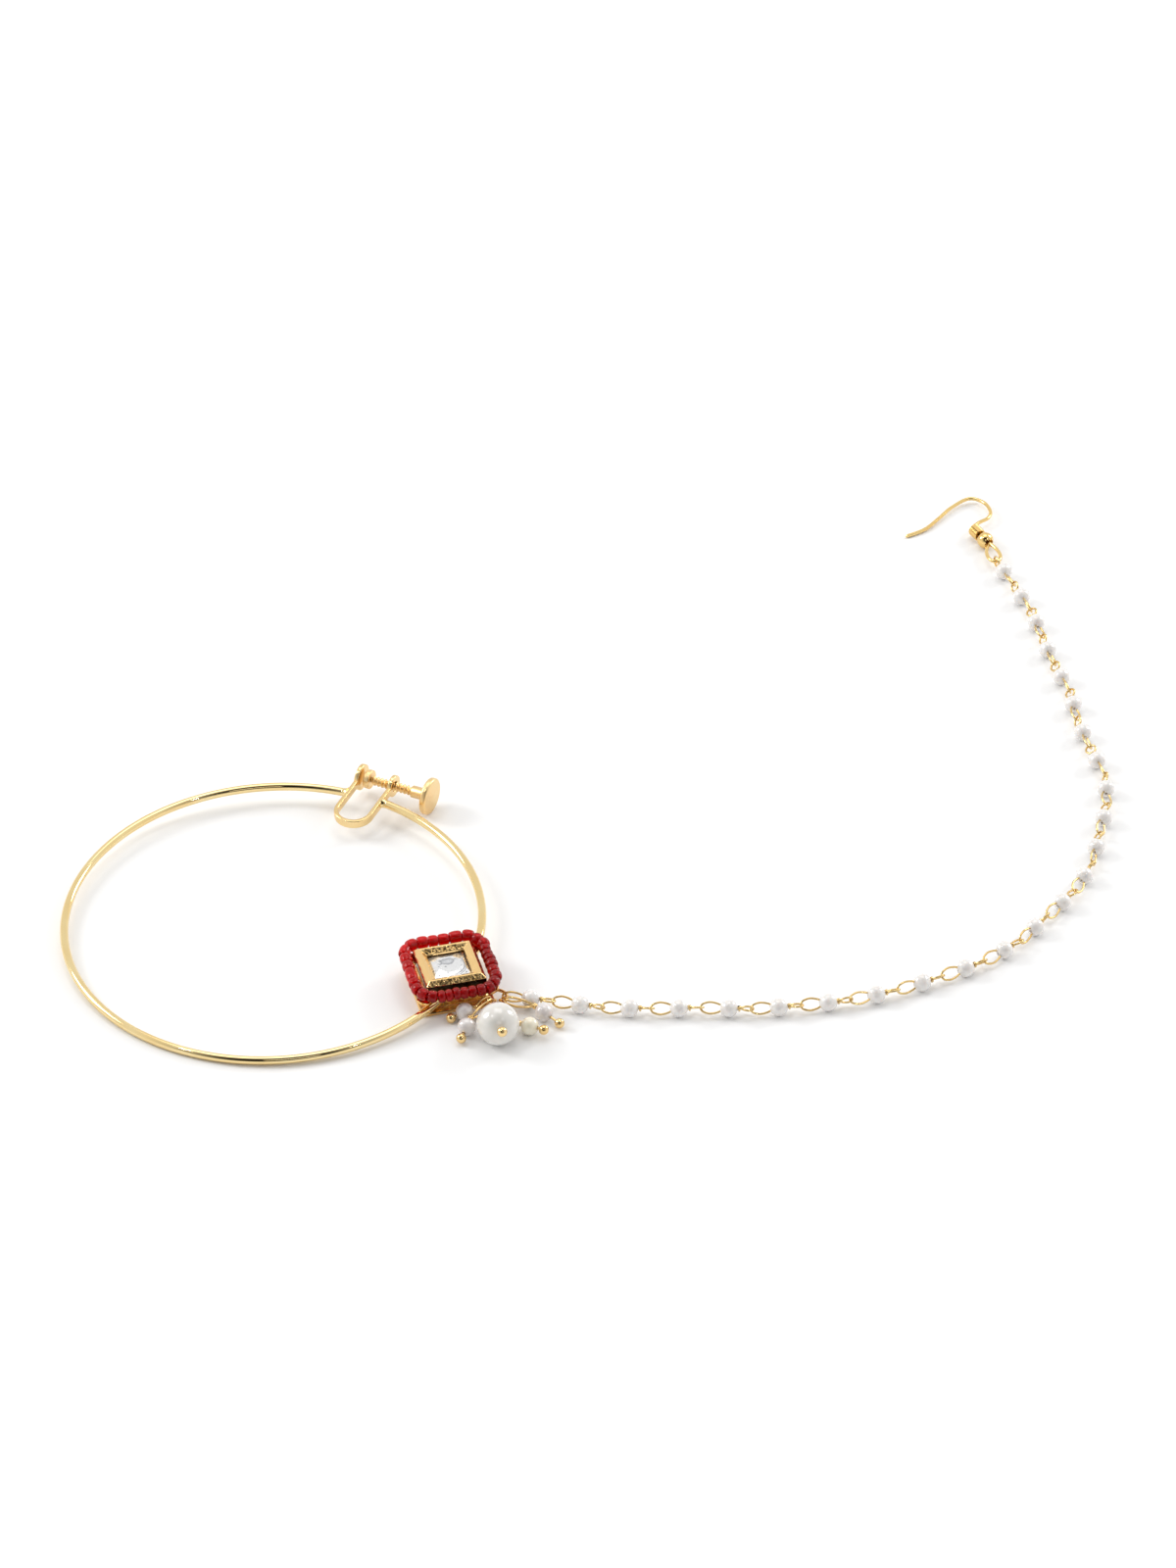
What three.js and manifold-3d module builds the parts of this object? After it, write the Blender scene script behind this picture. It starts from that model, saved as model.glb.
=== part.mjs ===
// A bridal nose ring that lies on a table: a gold wire hoop with a screw clamp, a square stone motif
// in a border of red seed beads, five pearl drops, and a pearl chain that ends in an ear hook.
// Millimetres, +Z up, the pieces lie on the plane z = 0. Run with the packages three and manifold-3d.
import * as THREE from 'three';
import { mergeVertices } from 'three/addons/utils/BufferGeometryUtils.js';
import { ConvexGeometry } from 'three/addons/geometries/ConvexGeometry.js';
import Module from 'manifold-3d';

const wasm = await Module();
wasm.setup();

// Hoop of round wire
const HOOP_OUTER_DIAMETER = 70.1;
const HOOP_WIRE = 1.4;

// Screw clamp, soldered into the hoop's gap
const CLAMP_ANGLE = 65.5;
const CLAMP_INNER_WIDTH = 5.2;
const CLAMP_BAND_THICKNESS = 0.8;
const CLAMP_BAND_WIDTH = 1.5;
const CLAMP_INSIDE_HOOP = 6.9;
const CLAMP_OUTSIDE_HOOP = 4.6;
const STOP_DISC_DIAMETER = 4.6;
const NUT_DISC_DIAMETER = 3.8;
const SOLDER_LENGTH = 2.1;
const SOLDER_WIDTH = 1.47;
const SOLDER_HEIGHT = 1.26;

// Screw with its pressure pad
const THREAD_DIAMETER = 1.35;
const THREAD_PITCH = 0.5;
const THREAD_DEPTH = 0.16;
const THREAD_BEYOND_NUT = 3.0;
const THREAD_CLEARANCE = 0.08;
const HUB_DIAMETER = 2.1;
const HUB_LENGTH = 2.8;
const HUB_CHAMFER = 0.25;
const KNOB_DIAMETER = 6.4;
const KNOB_THICKNESS = 1.2;
const KNOB_ABOVE_FLOOR = 0.15;
const PAD_DIAMETER = 3.3;
const PAD_THICKNESS = 1.1;
const PAD_OPENING = 0.5;
const PAD_CHAMFER = 0.35;
const PAD_GAP = 0.12;
const PIVOT_DIAMETER = 0.7;
const PIVOT_LENGTH = 0.5;
const PIVOT_CLEARANCE = 0.08;

// Square motif: backing, setting and stone
const MOTIF_ANGLE = -27.4;
const MOTIF_INWARD = 1.35;
const MOTIF_TURN = 15;
const BASE_PLATE_SIDE = 12.4;
const BASE_PLATE_THICKNESS = 0.6;
const BACKING_SIDE = 10.0;
const BACKING_HEIGHT = 3.35;
const CORNER_TAB_WIDTH = 2.4;
const CORNER_TAB_THICKNESS = 0.45;
const CORNER_TAB_BEYOND = 0.4;
const SETTING_SIDE = 10.0;
const SETTING_WALL_HEIGHT = 1.5;
const SETTING_RIDGE_RISE = 0.75;
const SETTING_RIDGE_WIDTH = 0.35;
const SETTING_SLOPE_WIDTH = 0.7;
const SETTING_LIP_RISE = 0.15;
const STONE_OPENING = 6.2;
const STONE_SIDE = 6.7;
const STONE_GIRDLE = 0.5;
const STONE_CROWN = 0.7;
const STONE_TABLE = 3.8;
const STONE_ABOVE_SETTING_FOOT = 0.4;

// Corners of the stone's cut as shares of its half side, of its table's and of its crown's height
const STONE_CUT = { girdleCorner: 0.86, shoulder: 0.8, shoulderCorner: 0.5, shoulderRise: 0.55, tableCorner: 0.45 };

const SEAT_CLEARANCE = 0.1;

// Seed bead border, one rounded square string of beads
const SEED_BEAD_DIAMETER = 2.1;
const BORDER_SIDE = 14.1;
const BORDER_CORNER_RADIUS = 3.4;

// Ring that carries the drops and the chain
const DROP_RING_RADIUS = 1.75;
const DROP_RING_WIRE = 0.6;
const DROP_RING_HEIGHT = 1.8;
const DROP_RING_HEADING = -32;
const LINK_CLEARANCE = 0.12;

// Pearl drops on ball-end pins. Each row: side of the ring where it hangs, place of the pearl from
// the ring's centre, heading and rise of the pin through it, pearl size, how far the pin's ball stands
// off, and the finish.
const PIN_WIRE = 0.42;
const PIN_EYE_HEIGHT = 1.8;
const PIN_BALL_DIAMETER = 1.65;
const PEARL_BORE_CLEARANCE = 0.1;
const SMALL_PEARL = 3.0;
const LARGE_PEARL = 7.0;
const DROPS = [
  {
    name: 'upper_left', hangsAt: -150, heading: -146.3, reach: 6.07, pinHeading: -159.3, pinRise: -15,
    pearl: SMALL_PEARL, ballGap: 0, finish: 'white',
  },
  {
    name: 'lower_left', hangsAt: -121, heading: -123.3, reach: 8.56, pinHeading: -109.2, pinRise: -9.7,
    pearl: SMALL_PEARL, ballGap: 0.1, finish: 'white',
  },
  {
    name: 'large', hangsAt: -91, heading: -87.4, reach: 8.76, pinHeading: -79.6, pinRise: 22.4,
    pearl: LARGE_PEARL, ballGap: 0, finish: 'white',
  },
  {
    name: 'cream', hangsAt: -61, heading: -51.8, reach: 8.87, pinHeading: -27.1, pinRise: 4.4,
    pearl: SMALL_PEARL, ballGap: 0.1, finish: 'cream',
  },
  {
    name: 'right', hangsAt: -34, heading: -24.6, reach: 8.5, pinHeading: -40, pinRise: -8.5,
    pearl: SMALL_PEARL, ballGap: 0.9, finish: 'white',
  },
];

// Pearl chain: beads on wire, each with a long eye towards the motif and a short one towards the
// ear hook, measured from the bead to where they hook into the next bead's eye
const CHAIN_PEARL = 3.0;
const CHAIN_COUNT = 25;
const CHAIN_LONG_EYE = 2.85;
const CHAIN_SHORT_EYE = 2.3;
const CHAIN_WIRE = 0.42;
const CHAIN_EYE_WIDTH = 1.85;
const CHAIN_BITE = 0.13;
const CHAIN_HANGS_AT = 10;
const CHAIN_END_LEAN = 0;
const CHAIN_LEAN = 45;
const CHAIN_LEAN_CHANGE = 18;
const CHAIN_LEAN_STEP = 2.4;

// The way that the chain lies, as chosen points from its first eye to its last
const CHAIN_ROUTE = [
  [0, 0], [4.4, -0.7], [11.9, -1.4], [20.1, -3.5], [28.0, -2.1], [36.3, -3.3], [44.2, -2.3],
  [52.4, -1.6], [60.3, 0.7], [67.9, 3.5], [75.0, 7.6], [81.5, 11.2], [87.1, 18.3], [92.2, 24.9],
  [96.6, 31.7], [98.3, 39.4], [100.5, 48.1], [101.6, 56.4], [100.0, 64.1], [97.7, 71.7], [97.5, 79.9],
  [95.3, 87.6], [93.5, 95.8], [92.1, 103.8], [90.1, 111.6], [86.8, 118.3], [86.1, 121.7],
];

// Ear hook with its coil and ball
const HOOK_WIRE = 0.66;
const HOOK_BALL_DIAMETER = 2.9;
const HOOK_BALL_BORE = 1.3;
const HOOK_COIL_DIAMETER = 2.3;
const HOOK_COIL_LENGTH = 2.6;
const HOOK_COIL_TURNS = 6;
const HOOK_COIL_GROOVE = 0.12;
const HOOK_COIL_TAIL = 0.15;
const HOOK_LEVEL_END = 0.8;
const HOOK_LOOP_LENGTH = 5.5;
const HOOK_LOOP_WIDTH = 2.5;
const HOOK_LOOP_TURN = 10;
const HOOK_TURN = 19;
const HOOK_HEIGHT = 13.4;
const HOOK_WIDTH = 17.6;
const HOOK_BORE_CLEARANCE = 0.1;
const HOOK_END_IN_BALL = 0.165;

// Bends of the hook wire above the coil: shares of the hook's height along its shank, of its width
// across it, and of the ball's radius for the height at which it lies
const HOOK_BENDS = [
  { along: 0.389, across: 0.102, lies: 0.94 },
  { along: 0.431, across: 0.241, lies: 0.88 },
  { along: 0.542, across: 0.327, lies: 0.8 },
  { along: 0.786, across: 0.366, lies: 0.7 },
  { along: 0.969, across: 0.285, lies: 0.62 },
  { along: 0.931, across: 0.049, lies: 0.52 },
  { along: 0.802, across: -0.183, lies: 0.4 },
  { along: 0.702, across: -0.385, lies: 0.3 },
  { along: 0.691, across: -0.627, lies: 0.24 },
];

// Fineness of the facets
const HOOP_SIDES = 8;
const HOOP_STEPS = 56;
const BORDER_SIDES = 8;
const BORDER_STEPS = 28;
const LINK_SIDES = 5;
const EYE_STEPS = 10;
const PEARL_SIDES = 10;
const PEARL_ROWS = 5;
const LARGE_PEARL_SIDES = 14;
const LARGE_PEARL_ROWS = 8;
const TURNED_SIDES = 12;
const SCREW_SIDES = 10;
const BOW_STEPS = 10;
const SOLDER_SIDES = 10;
const SOLDER_ROWS = 6;
const RING_SIDES = 6;
const RING_STEPS = 18;
const HOOK_SIDES = 6;
const HOOK_STEPS = 30;
const HOOK_LOOP_STEPS = 14;
const HOOK_BALL_ROWS = 7;

// Handle length of a Bezier quarter circle, and the factor that makes an eye as wide as its width
const QUARTER_CIRCLE_HANDLE = 0.5523;
const EYE_SPREAD = 1.12;
const EYE_FULLNESS = 0.55;
const HOOK_LOOP_FULLNESS = 0.7;

// Places worked out from the sizes
const DEGREE = Math.PI / 180;
const UP = new THREE.Vector3(0, 0, 1);
const HOOP_RADIUS = (HOOP_OUTER_DIAMETER - HOOP_WIRE) / 2;
const SCREW_DISTANCE = HOOP_RADIUS + CLAMP_OUTSIDE_HOOP;
const SCREW_HEIGHT = KNOB_DIAMETER / 2 + KNOB_ABOVE_FLOOR;
const HOOP_LEAN = Math.asin((SCREW_HEIGHT - HOOP_WIRE / 2) / (SCREW_DISTANCE + HOOP_RADIUS));
const HOOP_HEIGHT = HOOP_WIRE / 2 + HOOP_RADIUS * Math.sin(HOOP_LEAN);
const ARM_CENTRE = (CLAMP_INNER_WIDTH + CLAMP_BAND_THICKNESS) / 2;
const THREAD_BORE_RADIUS = THREAD_DIAMETER / 2 + THREAD_CLEARANCE;
const PAD_FACE = -CLAMP_INNER_WIDTH / 2 + PAD_OPENING;
const PAD_BACK = PAD_FACE + PAD_THICKNESS;
const HUB_START = CLAMP_INNER_WIDTH / 2 + CLAMP_BAND_THICKNESS + THREAD_BEYOND_NUT;
const MOTIF_RADIUS = HOOP_RADIUS - MOTIF_INWARD;
const MOTIF_CENTRE = flat(MOTIF_RADIUS, MOTIF_ANGLE);
const BACKING_CORNER = flat(BACKING_SIDE / Math.SQRT2, MOTIF_TURN - 45).add(MOTIF_CENTRE);
const DROP_RING_CENTRE = flat(DROP_RING_RADIUS, DROP_RING_HEADING).add(BACKING_CORNER).setZ(DROP_RING_HEIGHT);
const EYE_STANDOFF = (DROP_RING_WIRE + PIN_WIRE) / 2 + LINK_CLEARANCE;
const CHAIN_PITCH = CHAIN_PEARL + CHAIN_LONG_EYE + CHAIN_SHORT_EYE;
const CHAIN_EYE_ROOT = 0.12;

const GOLD = new THREE.MeshStandardMaterial({ color: 0xe6bf6a, roughness: 0.2, metalness: 1 });
const SATIN_GOLD = new THREE.MeshStandardMaterial({ color: 0xe9c882, roughness: 0.45, metalness: 1 });
const WHITE_PEARL = new THREE.MeshStandardMaterial({ color: 0xf1ece6, roughness: 0.25, metalness: 0 });
const CREAM_PEARL = new THREE.MeshStandardMaterial({ color: 0xf0e4c4, roughness: 0.25, metalness: 0 });
const RED_GLASS = new THREE.MeshStandardMaterial({ color: 0x9c0f18, roughness: 0.15, metalness: 0 });
const CLEAR_STONE = new THREE.MeshStandardMaterial({ color: 0xdfe3e6, roughness: 0.05, metalness: 0.3 });

// A point in the level plane at a distance and heading from the origin
function flat(distance, heading) {
  const angle = heading * DEGREE;
  return new THREE.Vector3(Math.cos(angle) * distance, Math.sin(angle) * distance, 0);
}

// A closed geometry as a solid that can be joined and cut
function solid(geometry, placed = new THREE.Matrix4()) {
  const bare = geometry.clone();
  bare.deleteAttribute('normal');
  bare.deleteAttribute('uv');
  bare.applyMatrix4(placed);
  const merged = mergeVertices(bare, 1e-4);
  const corners = merged.index.array;
  const kept = [];
  for (let i = 0; i < corners.length; i += 3) {
    const [a, b, c] = corners.slice(i, i + 3);
    if (a !== b && b !== c && c !== a) kept.push(a, b, c);
  }
  const mesh = new wasm.Mesh({
    numProp: 3,
    vertProperties: merged.attributes.position.array,
    triVerts: new Uint32Array(kept),
  });
  return new wasm.Manifold(mesh);
}

function joined(solids) {
  return solids.reduce((whole, next) => whole.add(next));
}

function asGeometry(body) {
  const mesh = body.getMesh();
  const geometry = new THREE.BufferGeometry();
  geometry.setAttribute('position', new THREE.BufferAttribute(mesh.vertProperties, 3));
  geometry.setIndex(new THREE.BufferAttribute(mesh.triVerts, 1));
  geometry.computeVertexNormals();
  return geometry;
}

// A profile of [radius, height] pairs turned about Z
function turned(profile, sides, start = 0) {
  const points = profile.map(([radius, height]) => new THREE.Vector2(radius, height));
  return new THREE.LatheGeometry(points, sides, start).rotateX(Math.PI / 2);
}

// A square profile of [half side, height] pairs about Z, with its sides along X and Y
function squareTurned(profile) {
  const outward = profile.map(([half, height]) => [half * Math.SQRT2, height]);
  return turned(outward, 4, Math.PI / 4);
}

// A round bar from one distance along Z to another, sides flush with the radius given outside a hole
function bar(radius, from, to, sides) {
  return turned([[0, from], [radius, from], [radius, to], [0, to]], sides);
}

function holeRadius(radius, sides) {
  return radius / Math.cos(Math.PI / sides);
}

// Round wire with closed ends along an open curve
function wireAlong(curve, wire, sides, steps) {
  const section = new THREE.Shape();
  for (let i = 0; i < sides; i += 1) {
    const angle = (2 * Math.PI * i) / sides;
    const x = (wire / 2) * Math.cos(angle);
    const y = (wire / 2) * Math.sin(angle);
    if (i === 0) section.moveTo(x, y);
    else section.lineTo(x, y);
  }
  return new THREE.ExtrudeGeometry(section, { steps, bevelEnabled: false, extrudePath: curve });
}

// Round wire along a closed curve
function wireLoop(curve, wire, sides, steps) {
  return new THREE.TubeGeometry(curve, steps, wire / 2, sides, true);
}

// An eye of wire in the XZ plane: pointed at the origin, rounded at its far end along +X
class Eye extends THREE.Curve {
  constructor(length, width, fullness = EYE_FULLNESS) {
    super();
    this.length = length;
    this.width = width;
    this.fullness = fullness;
  }

  getPoint(t, target = new THREE.Vector3()) {
    const along = (1 - Math.cos(2 * Math.PI * t)) / 2;
    const across = Math.sin(2 * Math.PI * t) * Math.sin(Math.PI * t) ** this.fullness;
    return target.set(this.length * along, 0, (this.width / 2) * across * EYE_SPREAD);
  }
}

// A frame with its X axis along a direction, its Z axis as near to up as it can be, then rolled
function aimed(at, direction, roll = 0) {
  const x = direction.clone().normalize();
  const y = new THREE.Vector3().crossVectors(UP, x).normalize();
  const z = new THREE.Vector3().crossVectors(x, y);
  const turn = new THREE.Matrix4().makeRotationX(roll * DEGREE);
  return new THREE.Matrix4().makeBasis(x, y, z).setPosition(at).multiply(turn);
}

// The frame of the leaning hoop: origin at its centre
const hoopFrame = new THREE.Matrix4()
  .makeTranslation(0, 0, HOOP_HEIGHT)
  .multiply(new THREE.Matrix4().makeRotationAxis(flat(1, CLAMP_ANGLE - 90), HOOP_LEAN));

// The clamp's frame: X along the screw from the stop disc to the knob, Y away from the hoop's
// centre, Z across the band, origin where the screw's axis crosses the clamp's middle
const clampFrame = hoopFrame
  .clone()
  .multiply(new THREE.Matrix4().makeRotationZ((CLAMP_ANGLE - 90) * DEGREE))
  .multiply(new THREE.Matrix4().makeTranslation(0, SCREW_DISTANCE, 0));

// The screw's frame: Z along the screw's axis
const screwFrame = clampFrame.clone().multiply(new THREE.Matrix4().makeRotationY(Math.PI / 2));

// The motif's frame: level, turned, origin on the floor below its centre
const motifFrame = new THREE.Matrix4()
  .makeTranslation(MOTIF_CENTRE.x, MOTIF_CENTRE.y, 0)
  .multiply(new THREE.Matrix4().makeRotationZ(MOTIF_TURN * DEGREE));

// U of flat band, its round bottom inside the hoop and its arms up to the screw's axis
function clampBow() {
  const outer = CLAMP_INNER_WIDTH / 2 + CLAMP_BAND_THICKNESS;
  const inner = CLAMP_INNER_WIDTH / 2;
  const roundCentre = -(CLAMP_OUTSIDE_HOOP + CLAMP_INSIDE_HOOP) + inner;
  const outline = new THREE.Shape();
  outline.moveTo(outer, 0);
  outline.lineTo(inner, 0);
  outline.lineTo(inner, roundCentre);
  outline.absarc(0, roundCentre, inner, 0, -Math.PI, true);
  outline.lineTo(-inner, 0);
  outline.lineTo(-outer, 0);
  outline.lineTo(-outer, roundCentre);
  outline.absarc(0, roundCentre, outer, -Math.PI, 0, false);
  const band = new THREE.ExtrudeGeometry(outline, {
    depth: CLAMP_BAND_WIDTH,
    bevelEnabled: false,
    curveSegments: BOW_STEPS,
  });
  return band.translate(0, 0, -CLAMP_BAND_WIDTH / 2);
}

// The hoop with everything that is soldered to it: clamp, discs, backing and drop ring
function hoopSolid() {
  const hoop = solid(new THREE.TorusGeometry(HOOP_RADIUS, HOOP_WIRE / 2, HOOP_SIDES, HOOP_STEPS), hoopFrame);
  const cutter = 4 * HOOP_WIRE;
  const gap = new THREE.BoxGeometry(2 * ARM_CENTRE, cutter, cutter);
  const open = hoop.subtract(solid(gap.translate(0, -CLAMP_OUTSIDE_HOOP, 0), clampFrame));
  const disc = CLAMP_BAND_THICKNESS / 2;
  const stop = bar(STOP_DISC_DIAMETER / 2, -ARM_CENTRE - disc, -ARM_CENTRE + disc, TURNED_SIDES);
  const nut = bar(NUT_DISC_DIAMETER / 2, ARM_CENTRE - disc, ARM_CENTRE + disc, TURNED_SIDES);
  const boreRadius = holeRadius(THREAD_BORE_RADIUS, TURNED_SIDES);
  const bore = bar(boreRadius, ARM_CENTRE - 2 * disc, ARM_CENTRE + 2 * disc, TURNED_SIDES);
  const solders = [-1, 1].map((side) => {
    const drop = new THREE.SphereGeometry(0.5, SOLDER_SIDES, SOLDER_ROWS);
    drop.scale(SOLDER_LENGTH, SOLDER_WIDTH, SOLDER_HEIGHT);
    const offset = side * (ARM_CENTRE + CLAMP_BAND_THICKNESS / 2);
    const sag = HOOP_RADIUS - Math.sqrt(HOOP_RADIUS ** 2 - offset ** 2);
    return solid(drop.translate(offset, -CLAMP_OUTSIDE_HOOP - sag, 0), clampFrame);
  });
  const ringTurn = new THREE.Matrix4().setPosition(DROP_RING_CENTRE);
  const ring = new THREE.TorusGeometry(DROP_RING_RADIUS, DROP_RING_WIRE / 2, RING_SIDES, RING_STEPS);
  return joined([
    open,
    solid(clampBow(), clampFrame),
    solid(stop, screwFrame),
    solid(nut, screwFrame),
    ...solders,
    backingSolid(),
    solid(ring, ringTurn),
  ]).subtract(solid(bore, screwFrame));
}

// Base plate and box under the setting, turned as one square profile, with two crossed bars whose
// ends are the tabs under the border's corners
function backingSolid() {
  const base = BASE_PLATE_SIDE / 2;
  const box = BACKING_SIDE / 2;
  const profile = [
    [0, 0],
    [base, 0],
    [base, BASE_PLATE_THICKNESS],
    [box, BASE_PLATE_THICKNESS],
    [box, BACKING_HEIGHT],
    [0, BACKING_HEIGHT],
  ];
  const borderCorner = (BORDER_SIDE / 2 - BORDER_CORNER_RADIUS) * Math.SQRT2 + BORDER_CORNER_RADIUS;
  const reach = borderCorner + CORNER_TAB_BEYOND;
  const middle = BACKING_HEIGHT - CORNER_TAB_THICKNESS / 2;
  const tabs = [45, 135].map((heading) => {
    const cross = new THREE.BoxGeometry(2 * reach, CORNER_TAB_WIDTH, CORNER_TAB_THICKNESS);
    return solid(cross.rotateZ(heading * DEGREE).translate(0, 0, middle), motifFrame);
  });
  return joined([solid(squareTurned(profile), motifFrame), ...tabs]);
}

const SETTING_BOTTOM = BACKING_HEIGHT + SEAT_CLEARANCE;
const SETTING_EDGE = SETTING_BOTTOM + SETTING_WALL_HEIGHT;
const STONE_BOTTOM = SETTING_BOTTOM + STONE_ABOVE_SETTING_FOOT;
const STONE_TOP = STONE_BOTTOM + STONE_GIRDLE + STONE_CROWN;

// Square setting: side wall, slope up to a ridge, slope down to the stone, and the stone's pocket
function settingGeometry() {
  const half = SETTING_SIDE / 2;
  const ridgeOuter = half - SETTING_SLOPE_WIDTH;
  const ridgeInner = ridgeOuter - SETTING_RIDGE_WIDTH;
  const ridge = SETTING_EDGE + SETTING_RIDGE_RISE;
  const opening = STONE_OPENING / 2;
  const pocket = STONE_SIDE / 2 + SEAT_CLEARANCE;
  const lip = STONE_BOTTOM + STONE_GIRDLE + SEAT_CLEARANCE;
  const profile = [
    [0, SETTING_BOTTOM],
    [half, SETTING_BOTTOM],
    [half, SETTING_EDGE],
    [ridgeOuter, ridge],
    [ridgeInner, ridge],
    [opening, SETTING_EDGE + SETTING_LIP_RISE],
    [opening, lip + (pocket - opening)],
    [pocket, lip],
    [pocket, STONE_BOTTOM - SEAT_CLEARANCE],
    [0, STONE_BOTTOM - SEAT_CLEARANCE],
  ];
  return squareTurned(profile);
}

// Square cut stone: girdle, cut corners, a crown of facets and an eight-sided table
function stoneGeometry() {
  const half = STONE_SIDE / 2;
  const { girdleCorner, shoulder, shoulderCorner, shoulderRise, tableCorner } = STONE_CUT;
  const table = STONE_TABLE / 2;
  const girdleTop = STONE_BOTTOM + STONE_GIRDLE;
  const shoulderLevel = girdleTop + STONE_CROWN * shoulderRise;
  const points = [];
  for (let quarter = 0; quarter < 4; quarter += 1) {
    const turn = (quarter * Math.PI) / 2;
    const place = (x, y, z) => points.push(new THREE.Vector3(x, y, z).applyAxisAngle(UP, turn));
    for (const side of [-1, 1]) {
      place(half, side * half * girdleCorner, STONE_BOTTOM);
      place(half, side * half * girdleCorner, girdleTop);
      place(half * shoulder, side * half * shoulderCorner, shoulderLevel);
      place(table, side * table * tableCorner, STONE_TOP);
    }
  }
  return new ConvexGeometry(points);
}

// Centre line of the seed bead border: a rounded square
function borderCurve() {
  const half = BORDER_SIDE / 2;
  const straight = half - BORDER_CORNER_RADIUS;
  const path = new THREE.CurvePath();
  const level = BACKING_HEIGHT + SEAT_CLEARANCE + SEED_BEAD_DIAMETER / 2;
  const arc = QUARTER_CIRCLE_HANDLE * BORDER_CORNER_RADIUS;
  for (let quarter = 0; quarter < 4; quarter += 1) {
    const at = (x, y) => new THREE.Vector3(x, y, level).applyAxisAngle(UP, (quarter * Math.PI) / 2);
    path.add(new THREE.LineCurve3(at(half, -straight), at(half, straight)));
    path.add(new THREE.CubicBezierCurve3(
      at(half, straight),
      at(half, straight + arc),
      at(straight + arc, half),
      at(straight, half),
    ));
  }
  return path;
}

// Pad that presses on the nostril, with a blind hole for the screw's pivot
function padGeometry() {
  const sides = TURNED_SIDES;
  const rim = PAD_DIAMETER / 2;
  const face = rim - PAD_CHAMFER;
  const hole = holeRadius(PIVOT_DIAMETER / 2 + PIVOT_CLEARANCE, sides);
  const holeEnd = PAD_BACK - PIVOT_LENGTH;
  return turned([
    [0, PAD_FACE],
    [face, PAD_FACE],
    [rim, PAD_FACE + PAD_CHAMFER],
    [rim, PAD_BACK],
    [hole, PAD_BACK],
    [hole, holeEnd],
    [0, holeEnd],
  ], sides);
}

// Screw: pivot, thread, hub and knob turned in one
function screwGeometry() {
  const crest = THREAD_DIAMETER / 2;
  const root = crest - THREAD_DEPTH;
  const threadStart = PAD_BACK + PAD_GAP;
  const turns = Math.floor((HUB_START - threadStart) / THREAD_PITCH);
  const profile = [
    [0, PAD_BACK - PIVOT_LENGTH + PAD_GAP],
    [PIVOT_DIAMETER / 2, PAD_BACK - PIVOT_LENGTH + PAD_GAP],
    [PIVOT_DIAMETER / 2, threadStart],
  ];
  for (let turn = 0; turn < turns; turn += 1) {
    const foot = threadStart + turn * THREAD_PITCH;
    profile.push([root, foot], [crest, foot + THREAD_PITCH / 2]);
  }
  const hub = HUB_DIAMETER / 2;
  const knobStart = HUB_START + HUB_LENGTH;
  const rim = KNOB_DIAMETER / 2;
  profile.push(
    [root, HUB_START],
    [hub - HUB_CHAMFER, HUB_START],
    [hub, HUB_START + HUB_CHAMFER],
    [hub, knobStart],
    [rim, knobStart],
    [rim, knobStart + KNOB_THICKNESS],
    [0, knobStart + KNOB_THICKNESS],
  );
  return turned(profile, SCREW_SIDES);
}

// One drop: where its eye starts on the ring, where its pearl sits, the way of the pin through it,
// and the neck where the pin comes out towards the ring
function dropPlace(drop) {
  const onRing = flat(DROP_RING_RADIUS - EYE_STANDOFF, drop.hangsAt).add(DROP_RING_CENTRE);
  const pearl = flat(drop.reach, drop.heading).add(DROP_RING_CENTRE).setZ(drop.pearl / 2);
  const rise = drop.pinRise * DEGREE;
  const shank = flat(Math.cos(rise), drop.pinHeading).setZ(Math.sin(rise));
  const neck = pearl.clone().addScaledVector(shank, -drop.pearl / 2 - PIN_WIRE);
  return { onRing, pearl, shank, neck };
}

function pearlGeometry(size, bore, sides, rows) {
  const radius = size / 2;
  const hole = holeRadius(bore / 2, sides);
  const start = Math.asin(hole / radius);
  const profile = [];
  for (let row = 0; row <= rows; row += 1) {
    const angle = start + ((Math.PI - 2 * start) * row) / rows;
    profile.push([radius * Math.sin(angle), -radius * Math.cos(angle)]);
  }
  profile.push(profile[0]);
  return turned(profile, sides).rotateY(Math.PI / 2);
}

function dropPearl(drop) {
  const { pearl, shank } = dropPlace(drop);
  const rows = drop.pearl > SMALL_PEARL ? LARGE_PEARL_ROWS : PEARL_ROWS;
  const sides = drop.pearl > SMALL_PEARL ? LARGE_PEARL_SIDES : PEARL_SIDES;
  const drilled = pearlGeometry(drop.pearl, PIN_WIRE + 2 * PEARL_BORE_CLEARANCE, sides, rows);
  return drilled.applyMatrix4(aimed(pearl, shank));
}

// Pin: an eye round the ring's wire, a shank through the pearl and a ball below it
function dropPin(drop) {
  const { onRing, pearl, shank, neck } = dropPlace(drop);
  const ballRadius = PIN_BALL_DIAMETER / 2;
  const eyeLength = neck.distanceTo(onRing);
  const neckAt = drop.pearl / 2 + PIN_WIRE;
  const ballAt = drop.pearl / 2 + drop.ballGap + ballRadius + PEARL_BORE_CLEARANCE;
  const eye = wireLoop(new Eye(eyeLength, PIN_EYE_HEIGHT), PIN_WIRE, LINK_SIDES, EYE_STEPS);
  const throughPearl = aimed(pearl, shank);
  const straight = bar(PIN_WIRE / 2, -neckAt - PIN_WIRE / 4, ballAt, LINK_SIDES).rotateY(Math.PI / 2);
  const ball = new THREE.SphereGeometry(ballRadius, PEARL_SIDES, PEARL_ROWS).translate(ballAt, 0, 0);
  return joined([
    solid(eye, aimed(neck, onRing.clone().sub(neck))),
    solid(straight, throughPearl),
    solid(ball, throughPearl),
  ]);
}

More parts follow.
